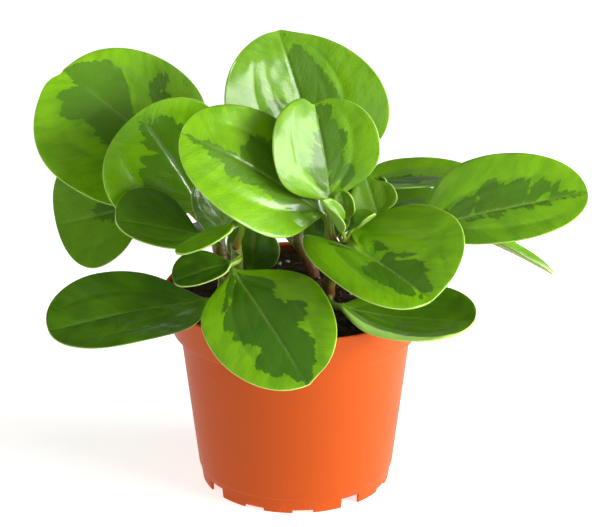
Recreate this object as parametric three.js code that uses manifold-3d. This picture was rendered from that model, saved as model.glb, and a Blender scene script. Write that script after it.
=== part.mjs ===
// A variegated blunt-leaved peperomia in a plastic nursery pot.
// Millimetres, +Z up, +X to the right of the usual front view, -Y towards the front.
// Everything is laid out about the pot's axis with the foot on Z = 0. At the end the
// whole plant is shifted sideways so that the middle of its bounding box is the origin.

import * as THREE from 'three';
import { mergeVertices } from 'three/addons/utils/BufferGeometryUtils.js';
import Module from 'manifold-3d';

// ---------------------------------------------------------------- driving dimensions

const GAP = 0.3; // clearance between pieces that rest on each other

// Pot: a 12 cm nursery pot
const POT_HEIGHT = 91;
const RIM_RADIUS = 60; // outer radius at the lip
const RIM_BAND = 17.4; // height of the flared band below the lip
const RIM_STEP_RADIUS = 55.8; // outer radius at the lower edge of the band
const BODY_TOP_RADIUS = 52.3;
const BODY_FOOT_RADIUS = 44.7;
const FOOT_RADIUS = 44;
const FOOT_HEIGHT = 7.5;
const FLOOR_HEIGHT = 6; // top of the pot's floor
const WALL = 1.4;
const POT_SEGMENTS = 72;

// Notches moulded into the foot ring; every third one is deep and drains the pot
const NOTCH_PITCH = 30; // degrees
const NOTCH_WIDTH = 12.5; // degrees
const NOTCH_PHASE = 4.5; // degrees from the front to the first notch
const NOTCH_DEPTH = 1.5;
const DRAIN_DEPTH = 4.8;

// Soil
const SOIL_EDGE = 86; // height of the surface at the wall
const SOIL_RISE = 2.2; // extra height in the middle
const SOIL_BUMP = 0.8;
const ROOT_DEPTH = 16; // how deep the shoots stand in the soil

// Leaves
const BLADE_THICKNESS = 1.3;
const PETIOLE_RADIUS = 1.5;
const AROUND = 12; // points around a leaf's cross-section
const BLADE_STATIONS = [0, 0.03, 0.09, 0.2, 0.34, 0.5, 0.66, 0.8, 0.91, 0.975];
const PETIOLE_STATIONS = [0, 0.2, 0.45, 0.72];

// ---------------------------------------------------------------- shoots

// Each shoot runs from its foot in the soil past a bend to its top.
// radius holds the thickness at the foot and at the top.
const SHOOTS = {
  left: { foot: [-31, 4], bend: [-34, 10, 104], top: [-38, 12, 128], radius: [3.4, 2.4] },
  middle: { foot: [-20, -18], bend: [-24, -21, 102], top: [-26, -22, 122], radius: [3.2, 2.2] },
  crown: { foot: [14, -8], bend: [16, -12, 102], top: [23, -17, 120], radius: [3.4, 2.6] },
  back: { foot: [8, 24], bend: [1, 26, 107], top: [8, 27, 132], radius: [3.2, 2.4] },
  right: { foot: [34, 10], bend: [38, 8, 100], top: [46, 4, 114], radius: [3.2, 2.2] },
};

// ---------------------------------------------------------------- leaves

// shoot, at: the shoot that carries the leaf and how far up it, from 0 to 1
// base, tip: ends of the blade's midrib; width: widest measure across the blade
// roll: turn about the midrib, in degrees; arch: bend along the midrib
// fold: rise of each half at the midrib; cup: further curl towards the margin
// widest: place of each half's greatest width along the midrib, from 0 to 1
// heel, crest: fullness of each half's outline towards the petiole and towards the tip
// notch, lobe: how far each half stands out beyond the tip and behind the base
// skew: how much wider the left half is; pairs are left and right, seen from the petiole
// lift: how steeply the petiole leaves the shoot; slim: its thickness against the usual
const LEAVES = {
  back_left: {
    shoot: 'left', at: 0.98, base: [-43, 33, 128], tip: [-104, 27, 184], width: 80.6, roll: -52,
    arch: 18, fold: [-6, -6], widest: [0.68, 0.38], heel: [1.9, 2.4], notch: [3.5, -1], skew: 0.06,
  },
  left_low: {
    shoot: 'left', at: 0.78, base: [-69, 43, 116], tip: [-111, 38, 107], width: 51, roll: -70,
    cup: [14, 14], widest: [0.66, 0.66], heel: [1.6, 1.6], skew: -0.06,
  },
  left_mid: {
    shoot: 'left', at: 0.9, base: [-42, 6, 127], tip: [-69, 5, 171.5], width: 65, roll: -62,
    arch: 24, cup: [14, 14], skew: 0.12,
  },
  front_left: {
    shoot: 'crown', at: 0.8, base: [12, -14, 131], tip: [-48, -33, 174], width: 54.5, roll: -52,
    arch: 26, fold: [0, 0], widest: [0.5, 0.5], skew: 0.03,
  },
  upper_mid: {
    shoot: 'crown', at: 0.915, base: [15, -17, 138], tip: [8, -7, 179], width: 54, roll: -10,
    arch: 20, fold: [16, 16], cup: [6, 6], notch: [4, 2], skew: 0.08,
  },
  back_top: {
    shoot: 'back', at: 0.93, base: [11, 33, 137], tip: [-8, 38, 200], width: 78.5, roll: -56,
    arch: 20, cup: [16, 16], widest: [0.5, 0.3], heel: [2.3, 2.6], crest: [2.1, 1.68],
    notch: [1, -2], lobe: [0, 10], skew: -0.015,
  },
  right_back: {
    shoot: 'back', at: 0.8, base: [28, 18, 134.3], tip: [88, 31, 132.8], width: 37, roll: 2,
    widest: [0.5, 0.5], heel: [3.2, 3.2],
  },
  right_dark: {
    shoot: 'crown', at: 0.66, base: [38, 16, 120], tip: [78, 32, 118], width: 44, roll: 2,
  },
  right_big: {
    shoot: 'right', at: 0.98, base: [57, -6, 122], tip: [127, -14, 140.8], width: 43.5, roll: 46,
    arch: 14, cup: [6, 6], widest: [0.38, 0.58], heel: [2.6, 1.9], lobe: [5, 5], skew: 0.2,
  },
  right_sliver: {
    shoot: 'right', at: 0.75, base: [80, 0, 117], tip: [114.5, -6, 100.4], width: 32, roll: -14,
    arch: 8,
  },
  front_right: {
    shoot: 'crown', at: 0.72, base: [25, -29, 121.5], tip: [57, -60, 109], width: 63.3, roll: 20,
    arch: 16, fold: [4, 8], cup: [6, 6], widest: [0.42, 0.42], heel: [2.8, 2.8], lobe: [13, 27],
    skew: 0.23,
  },
  low_right: {
    shoot: 'crown', at: 0.4, base: [19, -32, 95], tip: [76, -53, 97], width: 48, roll: 10,
    arch: -14, widest: [0.62, 0.6], heel: [2.3, 1.7], skew: -0.06,
  },
  front_mid: {
    shoot: 'middle', at: 0.66, base: [-27, -35, 113], tip: [5, -79, 79], width: 58, roll: 14,
    fold: [2, 2], cup: [3, 3], widest: [0.4, 0.48], notch: [-1.5, 0],
  },
  low_left: {
    shoot: 'left', at: 0.42, base: [-38.5, -22, 93.5], tip: [-105, -50, 90.5], width: 54,
    roll: -14, arch: 14, fold: [6, 6], cup: [6, 6], widest: [0.58, 0.58], heel: [3, 2],
  },
  left_dark: {
    shoot: 'left', at: 0.68, base: [-41, -20, 123], tip: [-76.5, -34, 135], width: 42, roll: -22,
    arch: 10, fold: [8, 8], cup: [14, 14],
  },
  strip: {
    shoot: 'middle', at: 0.97, base: [-26, -41.5, 136.5], tip: [-49.5, -56, 128.8], width: 19,
    roll: 8, arch: 8, fold: [0, 0], cup: [4, 4], skew: 0.25,
  },
  small_left: {
    shoot: 'middle', at: 0.88, base: [-27.5, -41.5, 118.9], tip: [-51, -50.6, 113.5], width: 22.5,
    roll: -15, arch: 8, fold: [8, 8], skew: -0.1,
  },
  mid_dark: {
    shoot: 'middle', at: 0.55, base: [-19.5, -13, 104.5], tip: [-16.5, -17, 127], width: 24.5,
    roll: 128, arch: 10, widest: [0.6, 0.6],
  },
  crown_outer: {
    shoot: 'crown', at: 0.92, base: [20.2, -29, 128.4], tip: [11.1, -31, 143.2], width: 15,
    arch: 4, fold: [12, 48], cup: [10, 25], widest: [0.35, 0.35], heel: [4, 4], skew: 0.07,
    lift: 1.6, slim: 0.6,
  },
  crown_right: {
    shoot: 'crown', at: 0.99, base: [25.8, -25.4, 129.2], tip: [34.6, -22.4, 134.4], width: 16,
    arch: -10, fold: [22, 30], cup: [20, 10], widest: [0.5, 0.5], heel: [3, 3], skew: -0.15,
    slim: 0.6,
  },
  crown_inner: {
    shoot: 'crown', at: 0.985, base: [22.8, -19.5, 131], tip: [19.8, -18, 143.4], width: 11,
    roll: -70, arch: 10, fold: [20, 20], cup: [30, 30], skew: -0.1, slim: 0.6,
  },
  crown_back: {
    shoot: 'crown', at: 0.92, base: [36.5, -3, 126.5], tip: [31, 3, 143.4], width: 21.5, roll: -30,
    arch: 10, fold: [6, 6], widest: [0.45, 0.2], heel: [4.5, 2.5], notch: [-1, -3], lobe: [3, 0],
    skew: -0.04,
  },
  crown_small: {
    shoot: 'crown', at: 0.8, base: [36.8, 4.5, 134], tip: [37.6, 6.5, 141.8], width: 9, arch: 10,
    fold: [10, 10], cup: [20, 20], slim: 0.6,
  },
  shade: {
    shoot: 'left', at: 0.84, base: [-29.6, -5.2, 120.4], tip: [-43, -9, 144], width: 27, roll: -60,
    arch: 10, fold: [10, 10],
  },
  rear_left: {
    shoot: 'left', at: 0.72, base: [-30, 44, 118], tip: [-44, 88, 122], width: 46, arch: 16,
    fold: [8, 8],
  },
  rear_mid: {
    shoot: 'back', at: 0.82, base: [4, 44, 122], tip: [6, 92, 124], width: 50, arch: 16,
    fold: [8, 8],
  },
  rear_right: {
    shoot: 'back', at: 0.6, base: [12, 37, 99], tip: [26, 62, 121], width: 40, arch: 16,
    fold: [8, 8], lobe: [4, 0], skew: 0.15,
  },
  rear_low_left: {
    shoot: 'left', at: 0.4, base: [-38, 30, 101], tip: [-56, 67, 95], width: 40, arch: 16,
    fold: [8, 8],
  },
  rear_low: {
    shoot: 'back', at: 0.4, base: [-6, 44, 103], tip: [-16, 86, 100], width: 46, arch: 16,
    fold: [8, 8],
  },
  rear_low_right: {
    shoot: 'right', at: 0.4, base: [46, 20, 102], tip: [74, 50, 98], width: 40, arch: 16,
    fold: [8, 8],
  },
};

const LEAF_DEFAULTS = {
  roll: 0,
  arch: 12,
  fold: [4, 4],
  cup: [10, 10],
  widest: [0.55, 0.55],
  heel: [2.3, 2.3],
  crest: [2.1, 2.1],
  notch: [0, 0],
  lobe: [0, 0],
  skew: 0,
  lift: 0.8,
  slim: 1,
};

// ---------------------------------------------------------------- small helpers

const wasm = await Module();
wasm.setup();

const V = (x, y, z) => new THREE.Vector3(x, y, z);
const UP = V(0, 0, 1);
const rad = THREE.MathUtils.degToRad;

// Weighted sum of vectors: combine(a, va, b, vb, ...)
function combine(...terms) {
  const sum = V(0, 0, 0);
  for (let i = 0; i < terms.length; i += 2) sum.addScaledVector(terms[i + 1], terms[i]);
  return sum;
}

// A closed body from a stack of equal rings, ended by a point on each side
function stackedRings(rings, first, last) {
  const count = rings[0].length;
  const points = [first, ...rings.flat(), last];
  const faces = [];
  for (let j = 0; j < count; j++) {
    const k = (j + 1) % count;
    faces.push(0, 1 + k, 1 + j);
    for (let i = 0; i + 1 < rings.length; i++) {
      const a = 1 + i * count;
      const b = a + count;
      faces.push(a + j, a + k, b + k, a + j, b + k, b + j);
    }
    const end = 1 + (rings.length - 1) * count;
    faces.push(end + j, end + k, points.length - 1);
  }
  const geometry = new THREE.BufferGeometry();
  const flat = points.flatMap((p) => p.toArray());
  geometry.setAttribute('position', new THREE.Float32BufferAttribute(flat, 3));
  geometry.setIndex(faces);
  return geometry;
}

function toSolid(geometry) {
  const bare = geometry.clone();
  bare.deleteAttribute('normal');
  bare.deleteAttribute('uv');
  const merged = mergeVertices(bare, 1e-4);
  const vertProperties = new Float32Array(merged.attributes.position.array);
  const triVerts = new Uint32Array(merged.index.array);
  return new wasm.Manifold(new wasm.Mesh({ numProp: 3, vertProperties, triVerts }));
}

function toGeometry(solid) {
  const mesh = solid.getMesh();
  const geometry = new THREE.BufferGeometry();
  geometry.setAttribute('position', new THREE.BufferAttribute(mesh.vertProperties, 3));
  geometry.setIndex(new THREE.BufferAttribute(mesh.triVerts, 1));
  return geometry;
}

const plant = new THREE.Group();
plant.name = 'potted_peperomia';

function addPart(name, geometry, color, roughness) {
  const mesh = new THREE.Mesh(geometry, new THREE.MeshStandardMaterial({ color, roughness, metalness: 0 }));
  mesh.name = name;
  mesh.geometry.computeVertexNormals();
  plant.add(mesh);
}

// ---------------------------------------------------------------- pot

const lipRound = WALL / 2;
const innerOf = (radius) => radius - WALL;
const bandFoot = POT_HEIGHT - RIM_BAND;

function wallRadius(z) {
  const f = (z - FOOT_HEIGHT) / (bandFoot - FOOT_HEIGHT);
  return THREE.MathUtils.lerp(BODY_FOOT_RADIUS, BODY_TOP_RADIUS, f);
}

function potGeometry() {
  const profile = [
    [0, FLOOR_HEIGHT - WALL],
    [innerOf(FOOT_RADIUS), FLOOR_HEIGHT - WALL],
    [innerOf(FOOT_RADIUS) - 0.4, 0],
    [FOOT_RADIUS - 0.8, 0],
    [FOOT_RADIUS, FOOT_HEIGHT - 0.5],
    [BODY_FOOT_RADIUS, FOOT_HEIGHT],
    [BODY_TOP_RADIUS, bandFoot - 0.2],
    [RIM_STEP_RADIUS - 0.3, bandFoot],
    [RIM_STEP_RADIUS, bandFoot + 0.4],
    [RIM_RADIUS, POT_HEIGHT - lipRound],
    [RIM_RADIUS - 0.3 * WALL, POT_HEIGHT],
    [RIM_RADIUS - 0.7 * WALL, POT_HEIGHT],
    [innerOf(RIM_RADIUS), POT_HEIGHT - lipRound],
    [innerOf(RIM_STEP_RADIUS), bandFoot + WALL],
    [innerOf(BODY_TOP_RADIUS), bandFoot + WALL - 0.4],
    [innerOf(BODY_FOOT_RADIUS), FLOOR_HEIGHT],
    [0, FLOOR_HEIGHT],
  ];
  const outline = profile.map(([r, z]) => new THREE.Vector2(r, z));
  const lathe = new THREE.LatheGeometry(outline, POT_SEGMENTS).rotateX(Math.PI / 2);
  let solid = toSolid(lathe);
  for (let i = 0; i < 360 / NOTCH_PITCH; i++) {
    const depth = i % 3 === 1 ? DRAIN_DEPTH : NOTCH_DEPTH;
    const middle = NOTCH_PHASE + i * NOTCH_PITCH;
    const cut = new THREE.BoxGeometry(2 * FOOT_RADIUS * Math.tan(rad(NOTCH_WIDTH / 2)), 12, 2 * depth)
      .translate(0, -FOOT_RADIUS, 0)
      .rotateZ(rad(middle));
    solid = solid.subtract(toSolid(cut));
  }
  return toGeometry(solid);
}

// ---------------------------------------------------------------- soil

// A plug that fills the pot, its top a shallow mound with uneven crumbs
function soilGeometry(shoots) {
  const around = 36;
  const ring = (radius, z) =>
    Array.from({ length: around }, (_, j) => {
      const angle = (2 * Math.PI * j) / around;
      const x = radius * Math.cos(angle);
      const y = radius * Math.sin(angle);
      return V(x, y, z(x, y));
    });
  const taper = (RIM_RADIUS - RIM_STEP_RADIUS) / RIM_BAND;
  const edge = innerOf(RIM_RADIUS) - (POT_HEIGHT - SOIL_EDGE) * taper - 2 * GAP;
  const mound = (x, y) =>
    SOIL_EDGE +
    SOIL_RISE * (1 - (x * x + y * y) / (edge * edge)) +
    SOIL_BUMP * Math.sin(0.31 * x + 1) * Math.cos(0.27 * y);
  const flat = (z) => () => z;
  const rings = [
    ring(innerOf(wallRadius(FLOOR_HEIGHT)) - GAP, flat(FLOOR_HEIGHT + GAP)),
    ring(innerOf(BODY_TOP_RADIUS) - GAP, flat(bandFoot + WALL)),
    ring(innerOf(RIM_STEP_RADIUS) - 2 * GAP, flat(bandFoot + WALL + GAP)),
    ring(edge, flat(SOIL_EDGE - 1.5)),
    ring(edge - 2, mound),
    ring(0.72 * edge, mound),
    ring(0.45 * edge, mound),
    ring(0.2 * edge, mound),
  ];
  let solid = toSolid(stackedRings(rings, V(0, 0, FLOOR_HEIGHT + GAP), V(0, 0, mound(0, 0))));
  for (const shoot of Object.values(shoots)) {
    const depth = ROOT_DEPTH + GAP;
    const radius = shoot.radius[0] + 2 * GAP;
    const socket = new THREE.CylinderGeometry(radius, radius, depth + 20, 16)
      .rotateX(Math.PI / 2)
      .translate(shoot.foot[0], shoot.foot[1], SOIL_EDGE - depth + (depth + 20) / 2);
    solid = solid.subtract(toSolid(socket));
  }
  return toGeometry(solid);
}

// ---------------------------------------------------------------- shoots

// The shoot's middle line: upright in the soil, then a smooth bend to its top
function shootLine(shoot) {
  const foot = V(...shoot.foot, SOIL_EDGE - ROOT_DEPTH);
  const neck = V(...shoot.foot, SOIL_EDGE + 3);
  return new THREE.CatmullRomCurve3([foot, neck, V(...shoot.bend), V(...shoot.top)], false, 'centripetal');
}

function shootRadius(shoot, f) {
  return THREE.MathUtils.lerp(shoot.radius[0], shoot.radius[1], f);
}

function shootGeometry(shoot) {
  const line = shootLine(shoot);
  const steps = 9;
  const sides = 12;
  const rings = [];
  for (let i = 0; i <= steps; i++) {
    const centre = line.getPoint(i / steps);
    const along = line.getTangent(i / steps);
    const side = combine(1, V(1, 0, 0), -along.x, along).normalize();
    const other = along.clone().cross(side);
    const radius = shootRadius(shoot, i / steps);
    rings.push(
      Array.from({ length: sides }, (_, j) => {
        const angle = (2 * Math.PI * j) / sides;
        return combine(1, centre, radius * Math.cos(angle), side, radius * Math.sin(angle), other);
      })
    );
  }
  return stackedRings(rings, line.getPoint(0), combine(1, line.getPoint(1), 0.8, line.getTangent(1)));
}

// ---------------------------------------------------------------- leaves

// Slides used for the dent at the tip and the ears at the base: 0 in the middle, 1 further out
function ease(t) {
  const f = Math.min(Math.max(t, 0), 1);
  return f * (2 - f);
}

const smooth = (t) => THREE.MathUtils.smoothstep(t, 0, 1);

// One point of the leaf. u runs from petiole to tip, angle runs around the cross-section:
// 0 is the left margin, 90 degrees the upper face.
function bladePoint(leaf, axes, u, angle) {
  const arch = rad(leaf.arch);
  const theta = arch * (0.5 - u);
  const scale = axes.length / (2 * Math.sin(arch / 2));
  const across = Math.cos(angle);
  const side = across >= 0 ? 0 : 1;
  const half = leaf.width / 2;
  const widest = leaf.widest[side];
  const t = u < widest ? (widest - u) / widest : (u - widest) / (1 - widest);
  const power = u < widest ? leaf.heel[side] : leaf.crest[side];
  const outline = half * Math.pow(Math.max(0, 1 - Math.pow(t, power)), 1 / power);
  const start = Math.pow(1 - u, 8);
  const stalk = PETIOLE_RADIUS * leaf.slim;
  const reach = (outline * (1 + (side ? -1 : 1) * leaf.skew) * (1 - start) + stalk * start) / half;
  const a = Math.abs(across) * reach;
  const fold = rad(leaf.fold[side]) * (1 - start);
  const cup = rad(leaf.cup[side]);
  const bend = fold + cup * a;
  const y = Math.sign(across) * (half / cup) * (Math.sin(bend) - Math.sin(fold));
  const z = (half / cup) * (Math.cos(fold) - Math.cos(bend));
  const thick = (BLADE_THICKNESS / 2) * (1 - start) + stalk * start;
  const lift = thick * Math.sin(angle);
  const clear = Math.max(0, a - stalk / half);
  const forward = leaf.notch[side] * smooth((u - 0.55) / 0.45);
  const back = leaf.lobe[side] * smooth(1 - u / 0.5);
  const slide = (forward - back) * ease(clear / 0.25);
  const along = combine(Math.cos(theta), axes.x, Math.sin(theta), axes.up);
  const above = combine(-Math.sin(theta), axes.x, Math.cos(theta), axes.up);
  const midrib = combine(
    1, axes.base,
    scale * (Math.sin(arch / 2) - Math.sin(theta)), axes.x,
    scale * (Math.cos(theta) - Math.cos(arch / 2)), axes.up
  );
  const tilt = Math.sign(across) * Math.sin(bend);
  return combine(1, midrib, slide, along, y - lift * tilt, axes.left, z + lift * Math.cos(bend), above);
}

// Directions of the blade: x from base to tip, left across it and up out of its face
function bladeAxes(leaf) {
  const base = V(...leaf.base);
  const x = V(...leaf.tip).sub(base);
  const length = x.length();
  x.normalize();
  const level = UP.clone().cross(x).normalize();
  const normal = x.clone().cross(level);
  const roll = rad(leaf.roll);
  return {
    base,
    length,
    x,
    left: combine(Math.cos(roll), level, Math.sin(roll), normal),
    up: combine(-Math.sin(roll), level, Math.cos(roll), normal),
  };
}

function leafGeometry(leaf, shoot) {
  const axes = bladeAxes(leaf);
  const stalk = PETIOLE_RADIUS * leaf.slim;
  const angles = Array.from({ length: AROUND }, (_, j) => (2 * Math.PI * j) / AROUND);

  // the petiole starts square to the shoot and runs smoothly into the midrib
  const line = shootLine(shoot);
  const joint = line.getPoint(leaf.at);
  const grain = line.getTangent(leaf.at);
  const out = axes.base.clone().sub(joint);
  out.addScaledVector(grain, -out.dot(grain)).normalize();
  const from = combine(1, joint, shootRadius(shoot, leaf.at) + GAP, out);
  const arch = rad(leaf.arch);
  const run = combine(Math.cos(arch / 2), axes.x, Math.sin(arch / 2), axes.up);
  const reach = 0.38 * from.distanceTo(axes.base);
  const leave = combine(1, out, leaf.lift, UP).normalize();
  const curve = new THREE.CubicBezierCurve3(
    from, combine(1, from, reach, leave), combine(1, axes.base, -reach, run), axes.base
  );
  const rings = PETIOLE_STATIONS.map((s) => {
    const along = s === 0 ? out : curve.getTangent(s);
    const left = combine(1, axes.left, -axes.left.dot(along), along).normalize();
    const up = along.clone().cross(left);
    return angles.map((angle) =>
      combine(1, curve.getPoint(s), stalk * Math.cos(angle), left, stalk * Math.sin(angle), up)
    );
  });
  for (const u of BLADE_STATIONS) rings.push(angles.map((angle) => bladePoint(leaf, axes, u, angle)));
  return stackedRings(rings, from, V(...leaf.tip));
}

// ---------------------------------------------------------------- assembly

addPart('pot', potGeometry(), 0xc85220, 0.45);
addPart('soil', soilGeometry(SHOOTS), 0x2a1d16, 0.95);
for (const [name, shoot] of Object.entries(SHOOTS)) {
  addPart(`stem_${name}`, shootGeometry(shoot), 0x7d7a3a, 0.5);
}
for (const [name, own] of Object.entries(LEAVES)) {
  const leaf = { ...LEAF_DEFAULTS, ...own };
  addPart(`leaf_${name}`, leafGeometry(leaf, SHOOTS[leaf.shoot]), 0x5f9a1e, 0.35);
}

// The middle of the bounding box becomes the origin; the foot stays on Z = 0
const middle = new THREE.Box3().setFromObject(plant).getCenter(V(0, 0, 0));
plant.position.set(-middle.x, -middle.y, 0);
plant.updateMatrixWorld(true);

export default plant;
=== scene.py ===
"""A variegated blunt-leaved peperomia in a plastic nursery pot, on a pale floor.

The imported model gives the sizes: every surface here is laid out in millimetres about the
pot's axis and then moved to that axis in the row frame, in metres.
"""

import math

import bpy
import numpy as np
from bpy.props import FloatProperty, FloatVectorProperty, IntProperty, PointerProperty
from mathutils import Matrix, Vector


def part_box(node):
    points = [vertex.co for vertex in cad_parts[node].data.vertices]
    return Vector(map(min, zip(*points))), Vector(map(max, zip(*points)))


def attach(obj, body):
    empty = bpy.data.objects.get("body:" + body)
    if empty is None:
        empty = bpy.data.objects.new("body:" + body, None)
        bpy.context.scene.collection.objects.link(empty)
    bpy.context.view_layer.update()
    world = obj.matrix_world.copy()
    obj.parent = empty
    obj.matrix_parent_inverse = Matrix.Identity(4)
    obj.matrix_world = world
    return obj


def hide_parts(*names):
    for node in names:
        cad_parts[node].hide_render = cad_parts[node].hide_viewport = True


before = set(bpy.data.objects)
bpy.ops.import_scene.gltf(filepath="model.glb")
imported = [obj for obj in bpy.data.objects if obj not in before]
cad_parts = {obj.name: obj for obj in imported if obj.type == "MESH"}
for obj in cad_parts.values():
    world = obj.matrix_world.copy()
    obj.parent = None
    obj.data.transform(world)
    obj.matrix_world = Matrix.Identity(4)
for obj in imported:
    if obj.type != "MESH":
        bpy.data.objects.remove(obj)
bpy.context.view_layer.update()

bl_info = {
    "name": "Potted Peperomia",
    "version": (1, 0, 0),
    "blender": (4, 5, 0),
    "location": "3D View > Sidebar > Plant",
    "description": "Fine surfaces and finishes for a potted peperomia",
    "category": "Add Mesh",
}

MM = 0.001
POT_LOW, POT_HIGH = (np.array(corner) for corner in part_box("pot"))
POT_AXIS = np.array([(POT_LOW[0] + POT_HIGH[0]) / 2, (POT_LOW[1] + POT_HIGH[1]) / 2, 0.0])
POT_HEIGHT = (POT_HIGH[2] - POT_LOW[2]) / MM
RIM_RADIUS = (POT_HIGH[0] - POT_LOW[0]) / 2 / MM

# Sizes of the pot and the soil in mm; radii are those of the outer face, heights are from the floor.
BAND_HEIGHT = 17.4  # of the flared band under the lip
RIM_STEP_RADIUS = 55.8  # at the lower edge of the band
BODY_TOP_RADIUS = 52.3
BODY_FOOT_RADIUS = 44.7
FOOT_RADIUS = 44.0
FOOT_HEIGHT = 7.5
FLOOR_HEIGHT = 6.0  # upper face of the pot's floor
LIP_BEVEL = 0.7
CORNER_RADIUS = 0.45
NOTCH_PITCH = 30.0  # degrees between the notches of the foot ring
NOTCH_WIDTH = 12.5  # degrees
NOTCH_PHASE = 4.5  # degrees from the front to the first notch
NOTCH_DEPTH = 1.5
DRAIN_DEPTH = 4.8  # of every third notch, which lets water out
WALL_SLOPE = (RIM_RADIUS - RIM_STEP_RADIUS) / BAND_HEIGHT  # how much wider the band gets for each mm up
SOIL_EDGE = 86.0  # height of the soil at the wall
SOIL_RISE = 2.2  # how much higher it is in the middle
INNER_FOOT = RIM_RADIUS - POT_HEIGHT * WALL_SLOPE - 0.5  # radius, carried down to z = 0, where the darker inner face begins
GAP = 0.3  # between a piece and the one that carries it


# ---------------------------------------------------------------------------
# Meshes from arrays
# ---------------------------------------------------------------------------


def triple(x, y, z):
    """Three numbers for each point, from arrays or from single numbers that hold for all."""
    return np.stack(np.broadcast_arrays(x, y, z), -1)


def ring_faces(rows, columns, copies=1):
    """Faces of a closed surface made of rows of points, each row a ring, with a pole before the first
    row and one after the last. Point 0 is the first pole. With copies, the faces of that many such
    surfaces whose points follow one another. Returns quads and triangles."""
    row, column = np.meshgrid(np.arange(rows - 1), np.arange(columns), indexing="ij")
    following = (column + 1) % columns
    here = 1 + row * columns
    above = here + columns
    quads = np.stack([here + column, here + following, above + following, above + column], -1)
    turn = np.arange(columns)
    after = (turn + 1) % columns
    last = 1 + (rows - 1) * columns
    pole = 1 + rows * columns
    bottom = triple(0, 1 + after, 1 + turn)
    top = triple(last + turn, last + after, pole)
    step = (np.arange(copies) * (pole + 1))[:, None, None]
    kinds = (quads.reshape(-1, 4), np.concatenate([bottom, top]))
    return [(kind + step).reshape(-1, kind.shape[1]) for kind in kinds]


def make_piece(name, points, faces, material, node, slot, data=None):
    """Puts points, in millimetres about the pot's axis, and faces into a mesh object that rides on the
    body and hides the imported part of a node, if one is given. data holds three numbers per point, by
    attribute name."""
    mesh = bpy.data.meshes.new(name)
    place = points.reshape(-1, 3) * MM + POT_AXIS
    corners = np.concatenate([part.ravel() for part in faces])
    sizes = np.concatenate([np.full(len(part), part.shape[1]) for part in faces])
    starts = np.concatenate([[0], np.cumsum(sizes)[:-1]])
    mesh.vertices.add(len(place))
    mesh.loops.add(len(corners))
    mesh.polygons.add(len(sizes))
    mesh.vertices.foreach_set("co", place.ravel())
    mesh.polygons.foreach_set("loop_start", starts.astype(np.int32))
    mesh.loops.foreach_set("vertex_index", corners.astype(np.int32))
    mesh.update(calc_edges=True)
    mesh.validate()
    mesh.shade_smooth()
    for key, values in (data or {}).items():
        layer = mesh.attributes.new(key, "FLOAT_VECTOR", "POINT")
        layer.data.foreach_set("vector", values.astype(np.float32).ravel())
    mesh.materials.append(material)
    piece = bpy.data.objects.new(name, mesh)
    bpy.context.scene.collection.objects.link(piece)
    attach(piece, "root")
    if node:
        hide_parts(node)


def closed(rings, first, last):
    """Values of a closed surface's points: at the first pole, on one ring after another, at the last."""
    return np.concatenate([np.reshape(first, (1, 3)), rings.reshape(-1, 3), np.reshape(last, (1, 3))])


def skin(rings, first, last):
    """Points and faces of one closed surface."""
    return closed(rings, first, last), ring_faces(*rings.shape[:2])


def tube(centre, side, other, wide, tall):
    """Rings of points about the points of a line: centre + wide * side + tall * other, where wide and
    tall have one column for each point of a ring."""
    centre, side, other = (part[..., None, :] for part in (centre, side, other))
    return centre + wide[..., None] * side + tall[..., None] * other


def unit(vectors):
    """The same directions with length 1."""
    vectors = np.asarray(vectors, float)
    return vectors / np.linalg.norm(vectors, axis=-1, keepdims=True)


def ease(t):
    """0 up to t = 0, 1 from t = 1 on, and t(2 - t) between, which starts fast and ends flat."""
    t = np.clip(t, 0, 1)
    return t * (2 - t)


def smooth(t):
    """0 up to t = 0, 1 from t = 1 on, and 3t^2 - 2t^3 between."""
    t = np.clip(t, 0, 1)
    return t * t * (3 - 2 * t)


def bell(x, width):
    """1 at x = 0, falling to both sides as exp(-(x / width)^2)."""
    return np.exp(-((x / width) ** 2))


def lattice_noise(x, y, seed, size=64):
    """Uneven heights from -1 to 1: seeded random values on a square lattice of step 1, blended
    smoothly between the four corners around each point."""
    table = np.random.default_rng(seed).uniform(-1, 1, (size, size))
    column, row = np.floor(x).astype(int), np.floor(y).astype(int)
    fx, fy = smooth(x - column), smooth(y - row)

    def along(line):
        # between the two nearest values on one line of the lattice
        return table[column % size, line % size] * (1 - fx) + table[(column + 1) % size, line % size] * fx

    return along(row) * (1 - fy) + along(row + 1) * fy


# ---------------------------------------------------------------------------
# Finishes as expressions
# ---------------------------------------------------------------------------


def operators(operation):
    """The method of an operator and that of its reflected form; each adds one maths node."""
    return (
        lambda term, other: term.pair(operation, other),
        lambda term, other: term.pair(operation, other, True),
    )


class Term:
    """A shader number, colour or vector that can stand in sums, differences, products and powers."""

    def __init__(self, finish, socket, wide=False):
        self.finish = finish
        self.socket = socket
        self.wide = wide  # True for a colour or vector

    def pair(self, operation, other, turned=False):
        """The result of an operation on this term and another value, which comes first if turned."""
        sockets = {0: other, 1: self} if turned else {0: self, 1: other}
        wide = self.wide or getattr(other, "wide", isinstance(other, tuple))
        kind = "ShaderNodeVectorMath" if wide else "ShaderNodeMath"
        return self.finish.term(kind, 0, {"operation": operation}, sockets, wide)

    __add__, __radd__ = operators("ADD")
    __sub__, __rsub__ = operators("SUBTRACT")
    __mul__, __rmul__ = operators("MULTIPLY")
    __pow__, __rpow__ = operators("POWER")

    def __abs__(self):
        return self.pair("ABSOLUTE", 0.0)

    def least(self, other):
        """The smaller of the two."""
        return self.pair("MINIMUM", other)


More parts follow.
